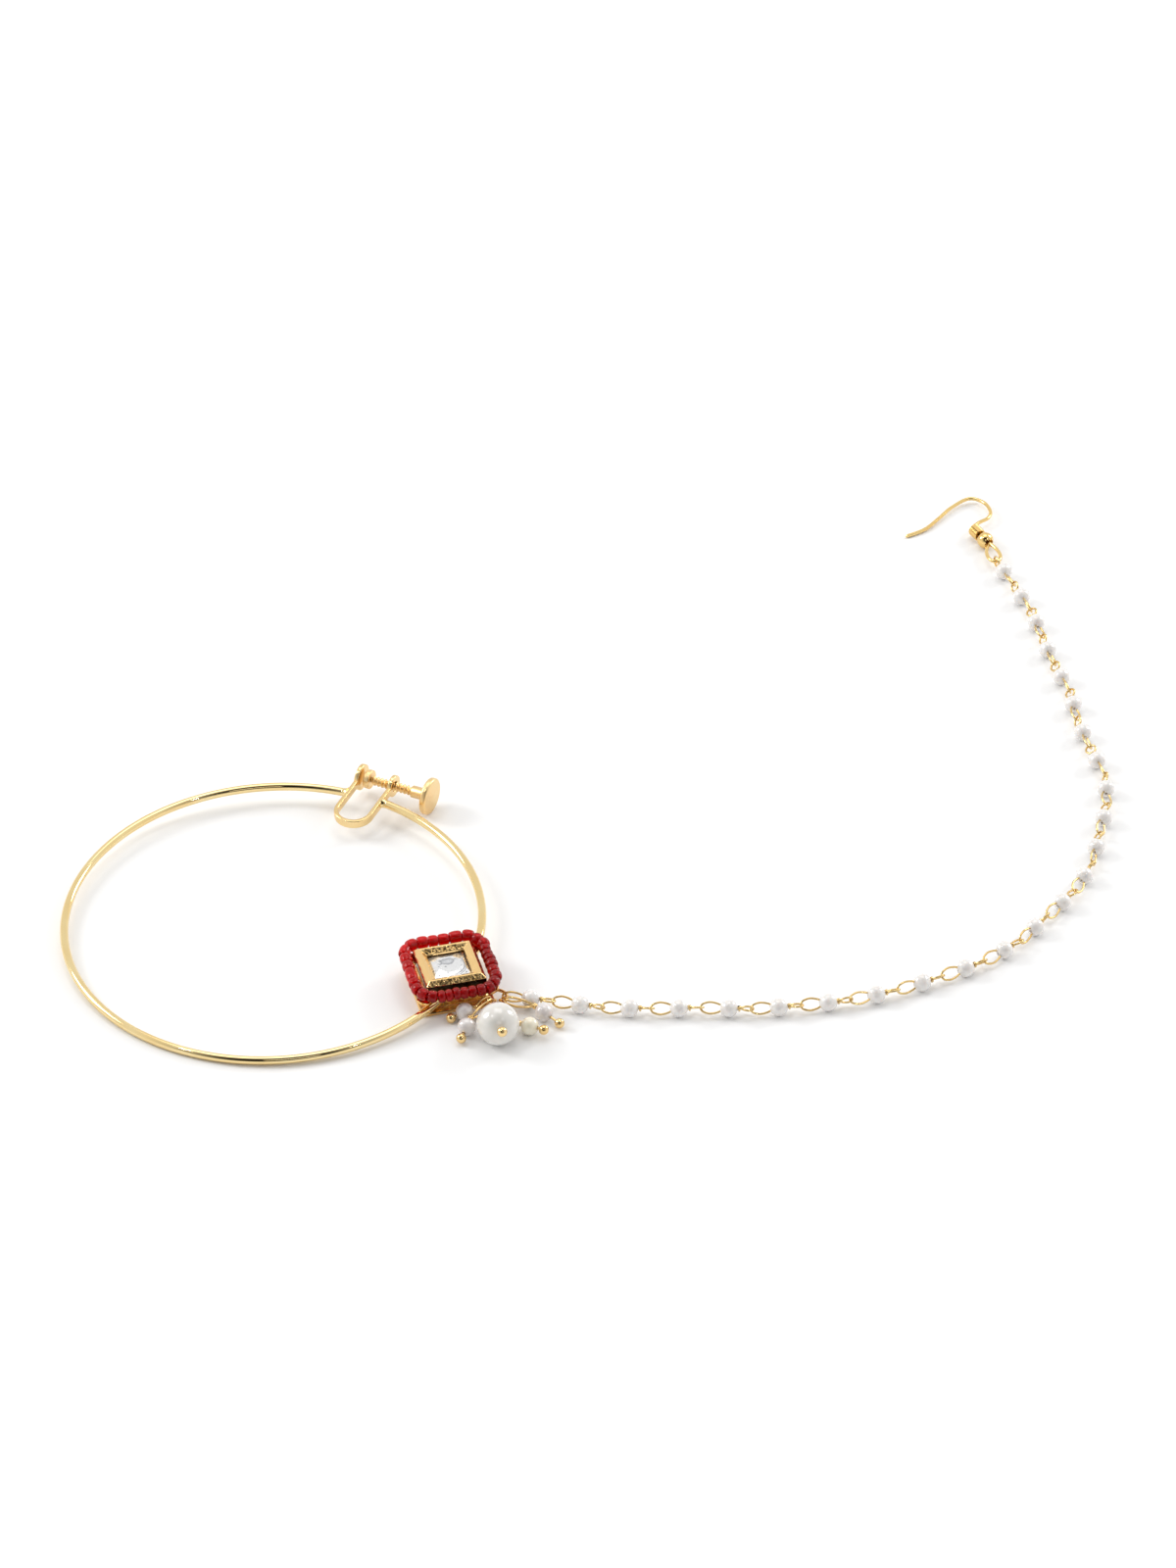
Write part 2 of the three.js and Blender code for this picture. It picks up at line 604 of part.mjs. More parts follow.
// The joints of the chain: equal steps of its length along the chosen route
function chainJoints() {
  const points = CHAIN_ROUTE.map(([x, y]) => new THREE.Vector3(x, y, 0));
  const route = new THREE.CatmullRomCurve3(points, false, 'centripetal');
  const steps = route.getSpacedPoints(CHAIN_COUNT);
  const scale = (CHAIN_COUNT * CHAIN_PITCH) / route.getLength();
  const onRing = flat(DROP_RING_RADIUS, CHAIN_HANGS_AT).add(DROP_RING_CENTRE);
  const inset = (DROP_RING_WIRE + CHAIN_BITE) / 2 + LINK_CLEARANCE;
  const start = onRing.clone().sub(new THREE.Vector3(inset, 0, 0));
  return steps.map((step, index) => {
    const joint = step.clone().multiplyScalar(scale).add(start);
    return joint.setZ(index === 0 ? DROP_RING_HEIGHT : CHAIN_PEARL / 2);
  });
}

const JOINTS = chainJoints();

// How far each eye is rolled from upright about its own outward axis, so that hooked eyes cross:
// both lean the same way seen from their beads, by an amount that changes along the chain
function eyeRoll(index, side) {
  const atRing = index === 0 && side < 0;
  const atHook = index === CHAIN_COUNT - 1 && side > 0;
  if (atRing || atHook) return CHAIN_END_LEAN;
  return CHAIN_LEAN + CHAIN_LEAN_CHANGE * Math.sin(CHAIN_LEAN_STEP * index + side);
}

function chainSolid() {
  const reach = (CHAIN_WIRE - CHAIN_BITE) / 2 + CHAIN_EYE_ROOT;
  const root = CHAIN_PEARL / 2 - CHAIN_EYE_ROOT;
  const beadAt = (CHAIN_LONG_EYE + CHAIN_PEARL / 2) / CHAIN_PITCH;
  const pieces = [];
  for (let index = 0; index < CHAIN_COUNT; index += 1) {
    const from = JOINTS[index];
    const to = JOINTS[index + 1];
    const middle = from.clone().lerp(to, beadAt);
    const bead = new THREE.SphereGeometry(CHAIN_PEARL / 2, PEARL_SIDES, PEARL_ROWS);
    bead.rotateX(Math.PI / 2).rotateZ(Math.PI / PEARL_SIDES);
    const direction = to.clone().sub(from);
    pieces.push(solid(bead, aimed(middle, direction)));
    for (const side of [-1, 1]) {
      const end = side < 0 ? from : to;
      const eyeLength = middle.distanceTo(end) - CHAIN_PEARL / 2 + reach;
      const outward = direction.clone().multiplyScalar(side);
      const place = aimed(middle, outward, eyeRoll(index, side));
      const shifted = place.multiply(new THREE.Matrix4().makeTranslation(root, 0, 0));
      const eye = wireLoop(new Eye(eyeLength, CHAIN_EYE_WIDTH), CHAIN_WIRE, LINK_SIDES, EYE_STEPS);
      pieces.push(solid(eye, shifted));
    }
  }
  return joined(pieces);
}

// The hook's frame: X along its shank from the ball to the coil, Y to its left, origin in the ball
function hookPlace() {
  const end = JOINTS[CHAIN_COUNT];
  const last = end.clone().sub(JOINTS[CHAIN_COUNT - 1]).normalize();
  const loopHeading = Math.atan2(last.y, last.x) / DEGREE;
  const inset = (HOOK_WIRE + CHAIN_BITE) / 2 + LINK_CLEARANCE;
  const loopEnd = end.clone().addScaledVector(last, -inset);
  const mouth = flat(HOOK_LOOP_LENGTH, loopHeading - HOOK_LOOP_TURN).add(loopEnd);
  const shank = flat(1, loopHeading + HOOK_TURN - HOOK_LOOP_TURN);
  const centre = mouth.clone().addScaledVector(shank, HOOK_BALL_DIAMETER / 2 - HOOK_END_IN_BALL);
  return { loopEnd, mouth, shank, centre: centre.setZ(HOOK_BALL_DIAMETER / 2) };
}

const HOOK = hookPlace();
const hookFrame = aimed(HOOK.centre, HOOK.shank);
const COIL_START = HOOK_BALL_DIAMETER / 2 + HOOK_BORE_CLEARANCE;
const COIL_END = COIL_START + HOOK_COIL_LENGTH;

function hookSolid() {
  const level = HOOK_BALL_DIAMETER / 2;
  const bends = HOOK_BENDS.map(({ along, across, lies }) => new THREE.Vector3(
    along * HOOK_HEIGHT,
    -across * HOOK_WIDTH,
    (lies - 1) * level,
  ));
  const straight = [
    new THREE.Vector3(-level + HOOK_END_IN_BALL, 0, 0),
    new THREE.Vector3(0, 0, 0),
    new THREE.Vector3(COIL_START, 0, 0),
    new THREE.Vector3(COIL_END - HOOK_LEVEL_END, 0, 0),
    new THREE.Vector3(COIL_END + HOOK_COIL_TAIL, 0, 0),
  ];
  const route = new THREE.CatmullRomCurve3([...straight, ...bends], false, 'centripetal');
  const loopFrame = aimed(HOOK.mouth.clone().setZ(level), HOOK.loopEnd.clone().sub(HOOK.mouth).setZ(0), 90);
  const loop = new Eye(HOOK_LOOP_LENGTH, HOOK_LOOP_WIDTH, HOOK_LOOP_FULLNESS);
  return joined([
    solid(wireAlong(route, HOOK_WIRE, HOOK_SIDES, HOOK_STEPS), hookFrame),
    solid(wireLoop(loop, HOOK_WIRE, HOOK_SIDES, HOOK_LOOP_STEPS), loopFrame),
  ]);
}

function hookBall() {
  const drilled = pearlGeometry(HOOK_BALL_DIAMETER, HOOK_BALL_BORE, TURNED_SIDES, HOOK_BALL_ROWS);
  return drilled.applyMatrix4(hookFrame);
}

// Close-wound coil of the hook, its turns as ridges
function hookCoil() {
  const outer = HOOK_COIL_DIAMETER / 2;
  const valley = outer - HOOK_COIL_GROOVE;
  const hole = holeRadius(HOOK_WIRE / 2 + HOOK_BORE_CLEARANCE, TURNED_SIDES);
  const pitch = HOOK_COIL_LENGTH / HOOK_COIL_TURNS;
  const profile = [[hole, COIL_START]];
  for (let turn = 0; turn < HOOK_COIL_TURNS; turn += 1) {
    const foot = COIL_START + turn * pitch;
    profile.push([valley, foot], [outer, foot + pitch / 2]);
  }
  profile.push([valley, COIL_END], [hole, COIL_END], [hole, COIL_START]);
  return turned(profile, TURNED_SIDES).rotateY(Math.PI / 2).applyMatrix4(hookFrame);
}

const group = new THREE.Group();

function addPiece(name, geometry, material) {
  const mesh = new THREE.Mesh(geometry, material);
  mesh.name = name;
  group.add(mesh);
}

addPiece('hoop_frame', asGeometry(hoopSolid()), GOLD);
addPiece('screw', screwGeometry().applyMatrix4(screwFrame), SATIN_GOLD);
addPiece('pad', padGeometry().applyMatrix4(screwFrame), SATIN_GOLD);
addPiece('setting', settingGeometry().applyMatrix4(motifFrame), GOLD);
addPiece('stone', stoneGeometry().applyMatrix4(motifFrame), CLEAR_STONE);
const border = wireLoop(borderCurve(), SEED_BEAD_DIAMETER, BORDER_SIDES, BORDER_STEPS);
addPiece('seed_bead_border', border.applyMatrix4(motifFrame), RED_GLASS);
for (const drop of DROPS) {
  const finish = drop.finish === 'cream' ? CREAM_PEARL : WHITE_PEARL;
  addPiece(`${drop.name}_drop_pearl`, dropPearl(drop), finish);
  addPiece(`${drop.name}_drop_pin`, asGeometry(dropPin(drop)), GOLD);
}
addPiece('pearl_chain', asGeometry(chainSolid()), WHITE_PEARL);
addPiece('ear_hook', asGeometry(hookSolid()), GOLD);
addPiece('hook_ball', hookBall(), GOLD);
addPiece('hook_coil', hookCoil(), GOLD);

// The origin is the middle of the footprint, on the floor
const box = new THREE.Box3().setFromObject(group);
const middle = box.getCenter(new THREE.Vector3());
group.position.set(-middle.x, -middle.y, -box.min.z);
group.updateMatrixWorld(true);

export default group;
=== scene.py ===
import math

import bmesh
import bpy
import numpy as np
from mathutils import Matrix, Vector


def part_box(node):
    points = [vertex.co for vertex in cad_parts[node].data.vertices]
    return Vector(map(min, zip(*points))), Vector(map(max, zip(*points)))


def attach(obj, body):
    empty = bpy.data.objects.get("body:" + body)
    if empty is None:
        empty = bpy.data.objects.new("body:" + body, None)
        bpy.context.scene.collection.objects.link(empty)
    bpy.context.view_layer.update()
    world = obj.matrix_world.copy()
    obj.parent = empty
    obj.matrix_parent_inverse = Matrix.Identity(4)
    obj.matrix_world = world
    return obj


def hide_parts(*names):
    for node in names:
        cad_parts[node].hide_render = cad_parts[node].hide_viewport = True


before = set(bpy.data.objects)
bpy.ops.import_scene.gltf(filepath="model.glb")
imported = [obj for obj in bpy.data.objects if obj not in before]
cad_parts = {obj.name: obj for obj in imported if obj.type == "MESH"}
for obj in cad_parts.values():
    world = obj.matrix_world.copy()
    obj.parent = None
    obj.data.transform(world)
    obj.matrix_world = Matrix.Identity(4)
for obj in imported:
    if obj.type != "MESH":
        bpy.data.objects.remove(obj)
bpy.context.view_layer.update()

# The table is matt white card under a soft box overhead, one at each side, a low fill light from the
# front and two small bright lamps for glints. None of it is part of the jewel. The camera looks down
# at it with a long lens.
TABLE_SIDE = 6.0
TABLE_COLOUR = (0.95, 0.95, 0.95)
CAMERA_LENS = 135.0
CAMERA_SENSOR = 36.0
CAMERA_ELEVATION = math.radians(37.703)
CAMERA_DISTANCE = 0.998985
CAMERA_AIM = Vector((-0.001156, -0.004746, 0.0))
# Each lamp: name, place, size, watts. All of them point at the middle of the table.
LAMPS = (
    ("overhead_soft_box", (0.0, 0.35, 0.95), (0.6, 0.5), 1.5),
    ("left_soft_box", (-0.82, 0.2, 0.53), (0.34, 0.44), 3.5),
    ("right_soft_box", (0.76, 0.52, 0.44), (0.28, 0.40), 2.6),
    ("front_fill", (0.1, -1.0, 0.85), (0.5, 0.2), 0.5),
    ("left_spark", (-0.45, -0.15, 0.85), (0.035, 0.035), 0.4),
    ("right_spark", (0.4, -0.45, 0.8), (0.035, 0.035), 0.3),
)
# The way to the middle of the dark patch behind the camera
DARK_WAY = (0.0, -0.72, 0.69)


def table_card():
    """A level square sheet, far wider than the view."""
    half = TABLE_SIDE / 2
    mesh = bpy.data.meshes.new("table")
    corners = [(-half, -half, 0), (half, -half, 0), (half, half, 0), (-half, half, 0)]
    mesh.from_pydata(corners, [], [(0, 1, 2, 3)])
    card = bpy.data.objects.new("table", mesh)
    bpy.context.scene.collection.objects.link(card)
    material = bpy.data.materials.new("white_card")
    material.use_nodes = True
    shader = material.node_tree.nodes["Principled BSDF"]
    shader.inputs["Base Color"].default_value = (*TABLE_COLOUR, 1)
    shader.inputs["Roughness"].default_value = 0.9
    shader.inputs["Specular IOR Level"].default_value = 0.1
    mesh.materials.append(material)


def soft_lamp(name, place, size, watts):
    lamp = bpy.data.lights.new(name, "AREA")
    lamp.shape = "RECTANGLE"
    lamp.size, lamp.size_y = size
    lamp.energy = watts
    holder = bpy.data.objects.new(name, lamp)
    bpy.context.scene.collection.objects.link(holder)
    holder.location = place
    holder.rotation_euler = (-Vector(place)).to_track_quat("-Z", "Y").to_euler()


def studio_air():
    """White light from all round, fading to a dark patch behind the camera by the nearness to its way."""
    world = bpy.data.worlds.new("studio")
    bpy.context.scene.world = world
    world.use_nodes = True
    nodes = world.node_tree.nodes
    links = world.node_tree.links
    way = nodes.new("ShaderNodeTexCoord")
    nearness = nodes.new("ShaderNodeVectorMath")
    nearness.operation = "DOT_PRODUCT"
    nearness.inputs[1].default_value = DARK_WAY
    shade = nodes.new("ShaderNodeValToRGB")
    shade.color_ramp.elements[0].position = 0.6
    shade.color_ramp.elements[0].color = (1.0, 1.0, 1.0, 1)
    shade.color_ramp.elements[1].position = 0.92
    shade.color_ramp.elements[1].color = (0.02, 0.02, 0.02, 1)
    shade.color_ramp.elements.new(0.81).color = (0.5, 0.5, 0.5, 1)
    links.new(way.outputs["Generated"], nearness.inputs[0])
    links.new(nearness.outputs["Value"], shade.inputs["Fac"])
    links.new(shade.outputs["Color"], nodes["Background"].inputs["Color"])
    nodes["Background"].inputs["Strength"].default_value = 0.9


table_card()
for lamp_row in LAMPS:
    soft_lamp(*lamp_row)
studio_air()
camera_data = bpy.data.cameras.new("camera")
camera_data.sensor_fit = "VERTICAL"
camera_data.sensor_height = CAMERA_SENSOR
camera_data.lens = CAMERA_LENS
camera_data.clip_start = 0.01
camera_data.clip_end = 20.0
camera = bpy.data.objects.new("camera", camera_data)
bpy.context.scene.collection.objects.link(camera)
camera_arm = Vector((0, -math.cos(CAMERA_ELEVATION), math.sin(CAMERA_ELEVATION))) * CAMERA_DISTANCE
camera.location = CAMERA_AIM + camera_arm
camera.rotation_euler = (-camera_arm).to_track_quat("-Z", "Y").to_euler()
bpy.context.scene.camera = camera
bpy.context.scene.view_settings.view_transform = "Standard"

# The hoop is polished gold wire, bent to a ring. Its two ends are soldered to the clamp's arms,
# and it passes through the box behind the motif. It leans a little, because the knob holds it up.
HOOP_RADIUS = 34.35
HOOP_WIRE = 1.4
CLAMP_ANGLE = math.radians(65.5)
CLAMP_OUTSIDE_HOOP = 4.6
KNOB_DIAMETER = 6.4
KNOB_ABOVE_FLOOR = 0.15
MOTIF_ANGLE = math.radians(-27.4)
MOTIF_INWARD = 1.35
GOLD_COLOUR = (0.90, 0.72, 0.38)
MILLIMETRE = 0.001
UP = np.array([0.0, 0.0, 1.0])


def unit(vectors):
    return vectors / np.linalg.norm(vectors, axis=-1, keepdims=True)


def level_way(heading):
    """The level direction at an angle from X."""
    return np.stack([np.cos(heading), np.sin(heading), np.zeros_like(heading, float)], axis=-1)


def placed(local, origin, axes):
    """Local points carried into a frame: the origin plus each coordinate times its axis."""
    return origin + local @ axes


def round_section(radius, sides=16):
    """A circle as [across, lift] pairs."""
    angle = np.arange(sides) * 2 * np.pi / sides
    return radius * np.stack([np.cos(angle), np.sin(angle)], axis=-1)


def swept(path, section, across):
    """A section carried along a path. At each station it stands square to the way the path runs, which is
    the step from the station before to the one after. One side of it lies along that way crossed with the
    direction given. A path whose last point is its first is a ring."""
    ring = np.allclose(path[..., 0, :], path[..., -1, :])
    way = np.gradient(path, axis=-2)
    if ring:
        joint_way = path[..., 1, :] - path[..., -2, :]
        way[..., 0, :] = joint_way
        way[..., -1, :] = joint_way
    side = unit(np.cross(unit(way), across))
    lift = np.cross(side, unit(way))
    return (
        path[..., None, :]
        + section[..., :1] * side[..., None, :]
        + section[..., 1:] * lift[..., None, :]
    )


def turned(profile, sides=48):
    """A profile of [distance along X, radius] pairs turned round X: the radius times the cosine and
    sine of each of the equal steps of a whole turn."""
    profile = np.asarray(profile, float)
    angle = np.arange(sides) * 2 * np.pi / sides
    circle = np.stack([np.zeros(sides), np.cos(angle), np.sin(angle)], axis=-1)
    return profile[:, None, :1] * np.array([1.0, 0.0, 0.0]) + profile[:, None, 1:] * circle


def capped(grid):
    """The grid with a last row drawn to the middle at each end, unless its ends already meet."""
    if np.allclose(grid[..., 0, :, :], grid[..., -1, :, :]):
        return grid
    start = np.broadcast_to(grid[..., :1, :, :].mean(axis=-2, keepdims=True), grid[..., :1, :, :].shape)
    end = np.broadcast_to(grid[..., -1:, :, :].mean(axis=-2, keepdims=True), grid[..., -1:, :, :].shape)
    return np.concatenate([start, grid, end], axis=-3)


def skinned(name, grids, material, body="root", replaces=(), marks=None, sharp=38):
    """One mesh object from grids of points in millimetres. The last axes of a grid run along a surface,
    round it and over x, y, z. Round it always closes. Neighbouring points of a grid make four-sided faces,
    points that coincide are merged, and faces are turned outwards."""
    corners = []
    quads = []
    tones = []
    count = 0
    for number, grid in enumerate(grids):
        grid = capped(grid)
        rows, sides = grid.shape[-3:-1]
        grid = grid.reshape(-1, rows, sides, 3)
        index = np.arange(len(grid) * rows * sides).reshape(len(grid), rows, sides) + count
        turn = np.roll(index, -1, axis=2)
        faces = np.stack([index[:, :-1], turn[:, :-1], turn[:, 1:], index[:, 1:]], axis=-1)
        quads.append(faces.reshape(-1, 4))
        corners.append(grid.reshape(-1, 3))
        count += index.size
        if marks is not None:
            tones.append(np.broadcast_to(capped_marks(marks[number], rows), grid.shape[:3]).ravel())
    mesh = bpy.data.meshes.new(name)
    mesh.from_pydata(np.vstack(corners) * MILLIMETRE, [], np.vstack(quads))
    if marks is not None:
        layer = mesh.attributes.new("tone", "FLOAT", "POINT")
        layer.data.foreach_set("value", np.concatenate(tones).astype(np.float32))
    work = bmesh.new()
    work.from_mesh(mesh)
    bmesh.ops.remove_doubles(work, verts=work.verts, dist=1e-8)
    bmesh.ops.recalc_face_normals(work, faces=work.faces)
    work.to_mesh(mesh)
    work.free()
    mesh.shade_smooth()
    mesh.set_sharp_from_angle(angle=math.radians(sharp))
    mesh.materials.append(material)
    piece = bpy.data.objects.new(name, mesh)
    bpy.context.scene.collection.objects.link(piece)
    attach(piece, body)
    if replaces:
        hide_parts(*replaces)
    return piece


def capped_marks(marks, rows):
    """Marks of a grid, with the first and the last row repeated where capping added a row."""
    marks = np.asarray(marks, float)
    marks = marks.reshape((1,) * (3 - marks.ndim) + marks.shape)
    if marks.shape[1] not in (1, rows):
        marks = np.concatenate([marks[:, :1], marks, marks[:, -1:]], axis=1)
    return marks


def grain(nodes, links, size, detail=3.0, stretch=(1, 1, 1)):
    """Noise on the piece's own coordinates, its lumps as wide as the size in millimetres."""
    place = nodes.new("ShaderNodeTexCoord")
    fitted = nodes.new("ShaderNodeMapping")
    fitted.inputs["Scale"].default_value = [1000 / size * share for share in stretch]
    noise = nodes.new("ShaderNodeTexNoise")
    noise.inputs["Scale"].default_value = 1.0
    noise.inputs["Detail"].default_value = detail
    links.new(place.outputs["Object"], fitted.inputs["Vector"])
    links.new(fitted.outputs["Vector"], noise.inputs["Vector"])
    return noise.outputs["Fac"]


def between(nodes, links, value, low, high):
    """The value, which lies mostly from 0.3 to 0.7, spread from the low number to the high one."""
    spread = nodes.new("ShaderNodeMapRange")
    spread.inputs["From Min"].default_value = 0.3
    spread.inputs["From Max"].default_value = 0.7
    spread.inputs["To Min"].default_value = low
    spread.inputs["To Max"].default_value = high
    links.new(value, spread.inputs["Value"])
    return spread.outputs["Result"]


def bumped(nodes, links, shader, value, height, strength=1.0, socket="Normal"):
    """The surface's normal tipped as if the value were its height in millimetres."""
    bump = nodes.new("ShaderNodeBump")
    bump.inputs["Distance"].default_value = height * MILLIMETRE
    bump.inputs["Strength"].default_value = strength
    links.new(value, bump.inputs["Height"])
    links.new(bump.outputs["Normal"], shader.inputs[socket])


def new_material(name, colour):
    material = bpy.data.materials.new(name)
    material.use_nodes = True
    nodes = material.node_tree.nodes
    shader = nodes["Principled BSDF"]
    shader.inputs["Base Color"].default_value = (*colour, 1)
    return material, nodes, material.node_tree.links, shader


def toned(nodes, links, value, dark, light):
    """A colour ramp from dark to light by the value."""
    ramp = nodes.new("ShaderNodeValToRGB")
    ramp.color_ramp.elements[0].color = (*dark, 1)
    ramp.color_ramp.elements[1].color = (*light, 1)
    links.new(value, ramp.inputs["Fac"])
    return ramp.outputs["Color"]


def gold(name, colour, smoothest, roughest, lump, lump_height):
    """Solid gold: its polish drifts along the piece, and its face is faintly uneven."""
    material, nodes, links, shader = new_material(name, colour)
    shader.inputs["Metallic"].default_value = 1.0
    drift = grain(nodes, links, 1.6, 2.0)
    links.new(between(nodes, links, drift, smoothest, roughest), shader.inputs["Roughness"])
    tint = between(nodes, links, grain(nodes, links, 5.0, 1.0), 0.0, 1.0)
    warm = tuple(share * part for share, part in zip(colour, (0.98, 0.92, 0.82)))
    links.new(toned(nodes, links, tint, warm, colour), shader.inputs["Base Color"])
    bumped(nodes, links, shader, grain(nodes, links, lump, 2.0), lump_height)
    return material


setting_low, setting_high = (np.array(corner) * 1000 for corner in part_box("setting"))
motif_centre = (setting_low + setting_high) / 2 * np.array([1, 1, 0])
screw_distance = HOOP_RADIUS + CLAMP_OUTSIDE_HOOP
screw_height = KNOB_DIAMETER / 2 + KNOB_ABOVE_FLOOR
hoop_lean = math.asin((screw_height - HOOP_WIRE / 2) / (screw_distance + HOOP_RADIUS))
hoop_centre = motif_centre - (HOOP_RADIUS - MOTIF_INWARD) * level_way(MOTIF_ANGLE)
hoop_centre = hoop_centre + (HOOP_WIRE / 2 + HOOP_RADIUS * math.sin(hoop_lean)) * UP

# The clamp's frame: along the screw, away from the hoop's centre, and square to the hoop
screw_way = level_way(CLAMP_ANGLE - math.pi / 2)
outward_way = math.cos(hoop_lean) * level_way(CLAMP_ANGLE) + math.sin(hoop_lean) * UP
clamp_axes = np.stack([screw_way, outward_way, np.cross(screw_way, outward_way)])
clamp_origin = hoop_centre + screw_distance * outward_way

ARM_CENTRE = 3.0
polished_gold = gold("polished_gold", GOLD_COLOUR, 0.045, 0.1, 2.2, 0.006)
arm_angle = math.asin(ARM_CENTRE / HOOP_RADIUS)
hoop_angle = np.linspace(math.pi / 2 + arm_angle, math.pi * 2.5 - arm_angle, 400)
hoop_local = HOOP_RADIUS * np.stack([np.cos(hoop_angle), np.sin(hoop_angle), 0 * hoop_angle], axis=-1)
hoop_path = placed(hoop_local, hoop_centre, clamp_axes)
hoop_wire = swept(hoop_path, round_section(HOOP_WIRE / 2, 24), clamp_axes[2])
skinned("hoop_wire", [hoop_wire], polished_gold, replaces=["hoop_frame"])

# The clamp is a U of flat gold band. A round stop is soldered to one arm's end and a threaded disc to
# the other's. The hoop's ends are soldered to its outer faces with a small flare of metal.
BAND_THICKNESS = 0.8
BAND_WIDTH = 1.5
BAND_CORNER = 5.0
CLAMP_INSIDE_HOOP = 6.9
ARM_END = 1.25
STOP_RADIUS = 2.3
NUT_RADIUS = 1.9
NUT_BORE = 0.87
DISC_EDGE = 0.2
FLARE_LENGTH = 1.1
FLARE_RADIUS = 0.98
FLARE_SINK = 0.1
RIVET_RADIUS = 0.45
SATIN_COLOUR = (0.87, 0.66, 0.34)


def superellipse(across, lift, power, sides=40):
    """A flat section with soft corners: the cosine and sine of a turn, each raised to two over the power."""
    angle = (np.arange(sides) + 0.5) * 2 * np.pi / sides
    cosine, sine = np.cos(angle), np.sin(angle)
    return np.stack([
        across * np.sign(cosine) * np.abs(cosine) ** (2 / power),
        lift * np.sign(sine) * np.abs(sine) ** (2 / power),
    ], axis=-1)


def rounded_disc(near, far, radius, edge, bore=0.0):
    """Profile of a disc from near to far along X, its rim and its bore's rim rounded by quarter circles."""
    turn = np.linspace(0, np.pi / 2, 7)
    face = [[near, bore + edge * (bore > 0)]]
    rim = np.stack([near + edge - edge * np.cos(turn), radius - edge + edge * np.sin(turn)], axis=-1)
    back = np.stack([far - edge + edge * np.sin(turn), radius - edge + edge * np.cos(turn)], axis=-1)
    if not bore:
        return np.vstack([face, rim, back, [[far, 0]]])
    inner_back = np.stack([far - edge + edge * np.cos(turn), bore + edge - edge * np.sin(turn)], axis=-1)
    inner_near = np.stack([near + edge - edge * np.sin(turn), bore + edge - edge * np.cos(turn)], axis=-1)
    return np.vstack([rim, back, inner_back, inner_near, rim[:1]])


satin_gold = gold("satin_gold", SATIN_COLOUR, 0.15, 0.24, 0.16, 0.003)
round_centre = -(CLAMP_OUTSIDE_HOOP + CLAMP_INSIDE_HOOP) + ARM_CENTRE - BAND_THICKNESS / 2
arm_run = np.linspace(-ARM_END, round_centre, 30)[:, None]
bend_turn = np.linspace(math.pi, 2 * math.pi, 50)[1:-1, None]
band_local = np.vstack([
    np.hstack([0 * arm_run - ARM_CENTRE, arm_run, 0 * arm_run]),
    np.hstack([ARM_CENTRE * np.cos(bend_turn), round_centre + ARM_CENTRE * np.sin(bend_turn), 0 * bend_turn]),
    np.hstack([0 * arm_run + ARM_CENTRE, arm_run[::-1], 0 * arm_run]),
])
band_section = superellipse(BAND_THICKNESS / 2 - 0.01, BAND_WIDTH / 2, BAND_CORNER)
clamp_band = swept(placed(band_local, clamp_origin, clamp_axes), band_section, clamp_axes[2])
half_disc = BAND_THICKNESS / 2
stop_disc = turned(rounded_disc(-ARM_CENTRE - half_disc, -ARM_CENTRE + half_disc, STOP_RADIUS, DISC_EDGE))
nut_disc = turned(
    rounded_disc(ARM_CENTRE - half_disc, ARM_CENTRE + half_disc, NUT_RADIUS, DISC_EDGE, NUT_BORE)
)
skinned(
    "clamp_band", [clamp_band], satin_gold, replaces=["hoop_frame"],
)
skinned(
    "clamp_discs", [placed(stop_disc, clamp_origin, clamp_axes), placed(nut_disc, clamp_origin, clamp_axes)],
    satin_gold, replaces=["hoop_frame"],
)


def flare(side):
    """Solder where the wire meets an arm: the wire's radius widened by the square of the nearness."""
    away = np.linspace(0, 1, 14)
    reach = ARM_CENTRE + half_disc - FLARE_SINK + away * FLARE_LENGTH
    radius = HOOP_WIRE / 2 + (FLARE_RADIUS - HOOP_WIRE / 2) * (1 - away) ** 2.2 + 0.004
    angle = math.pi / 2 - side * np.arcsin(reach / HOOP_RADIUS)
    line = HOOP_RADIUS * np.stack([np.cos(angle), np.sin(angle), 0 * angle], axis=-1)
    flattened = round_section(1.0, 32) * np.array([1.0, BAND_WIDTH / 2 / FLARE_RADIUS + 0.14])
    far_share = away[:, None, None]
    section = radius[:, None, None] * (flattened * (1 - far_share) + round_section(1.0, 32) * far_share)
    return swept(placed(line, hoop_centre, clamp_axes), section, clamp_axes[2])


rivet_turn = np.linspace(0, math.pi / 2, 8)
rivet_profile = np.stack([
    -ARM_CENTRE - half_disc - 0.5 * RIVET_RADIUS * np.cos(rivet_turn), RIVET_RADIUS * np.sin(rivet_turn),
], axis=-1)
rivet = placed(turned(rivet_profile), clamp_origin, clamp_axes)
skinned("clamp_solder", [flare(-1), flare(1), rivet], polished_gold, replaces=["hoop_frame"])

# The screw is turned from one rod: a pivot, a fine thread through the threaded disc, a smooth hub and a
# broad flat knob. The pressure pad sits on the pivot and slides with it.
THREAD_RADIUS = 0.84
THREAD_DEPTH = 0.32
THREAD_PITCH = 0.7
THREAD_START = -0.88
THREAD_END = 6.4
PIVOT_RADIUS = 0.35
PIVOT_START = -1.38
HUB_RADIUS = 1.05
HUB_CHAMFER = 0.25
HUB_END = 9.2
KNOB_THICKNESS = 1.2
KNOB_EDGE = 0.42
PAD_FACE = -2.1
PAD_BACK = -1.0
PAD_RADIUS = 1.65
PAD_EDGE = 0.35
PAD_HOLE = 0.43


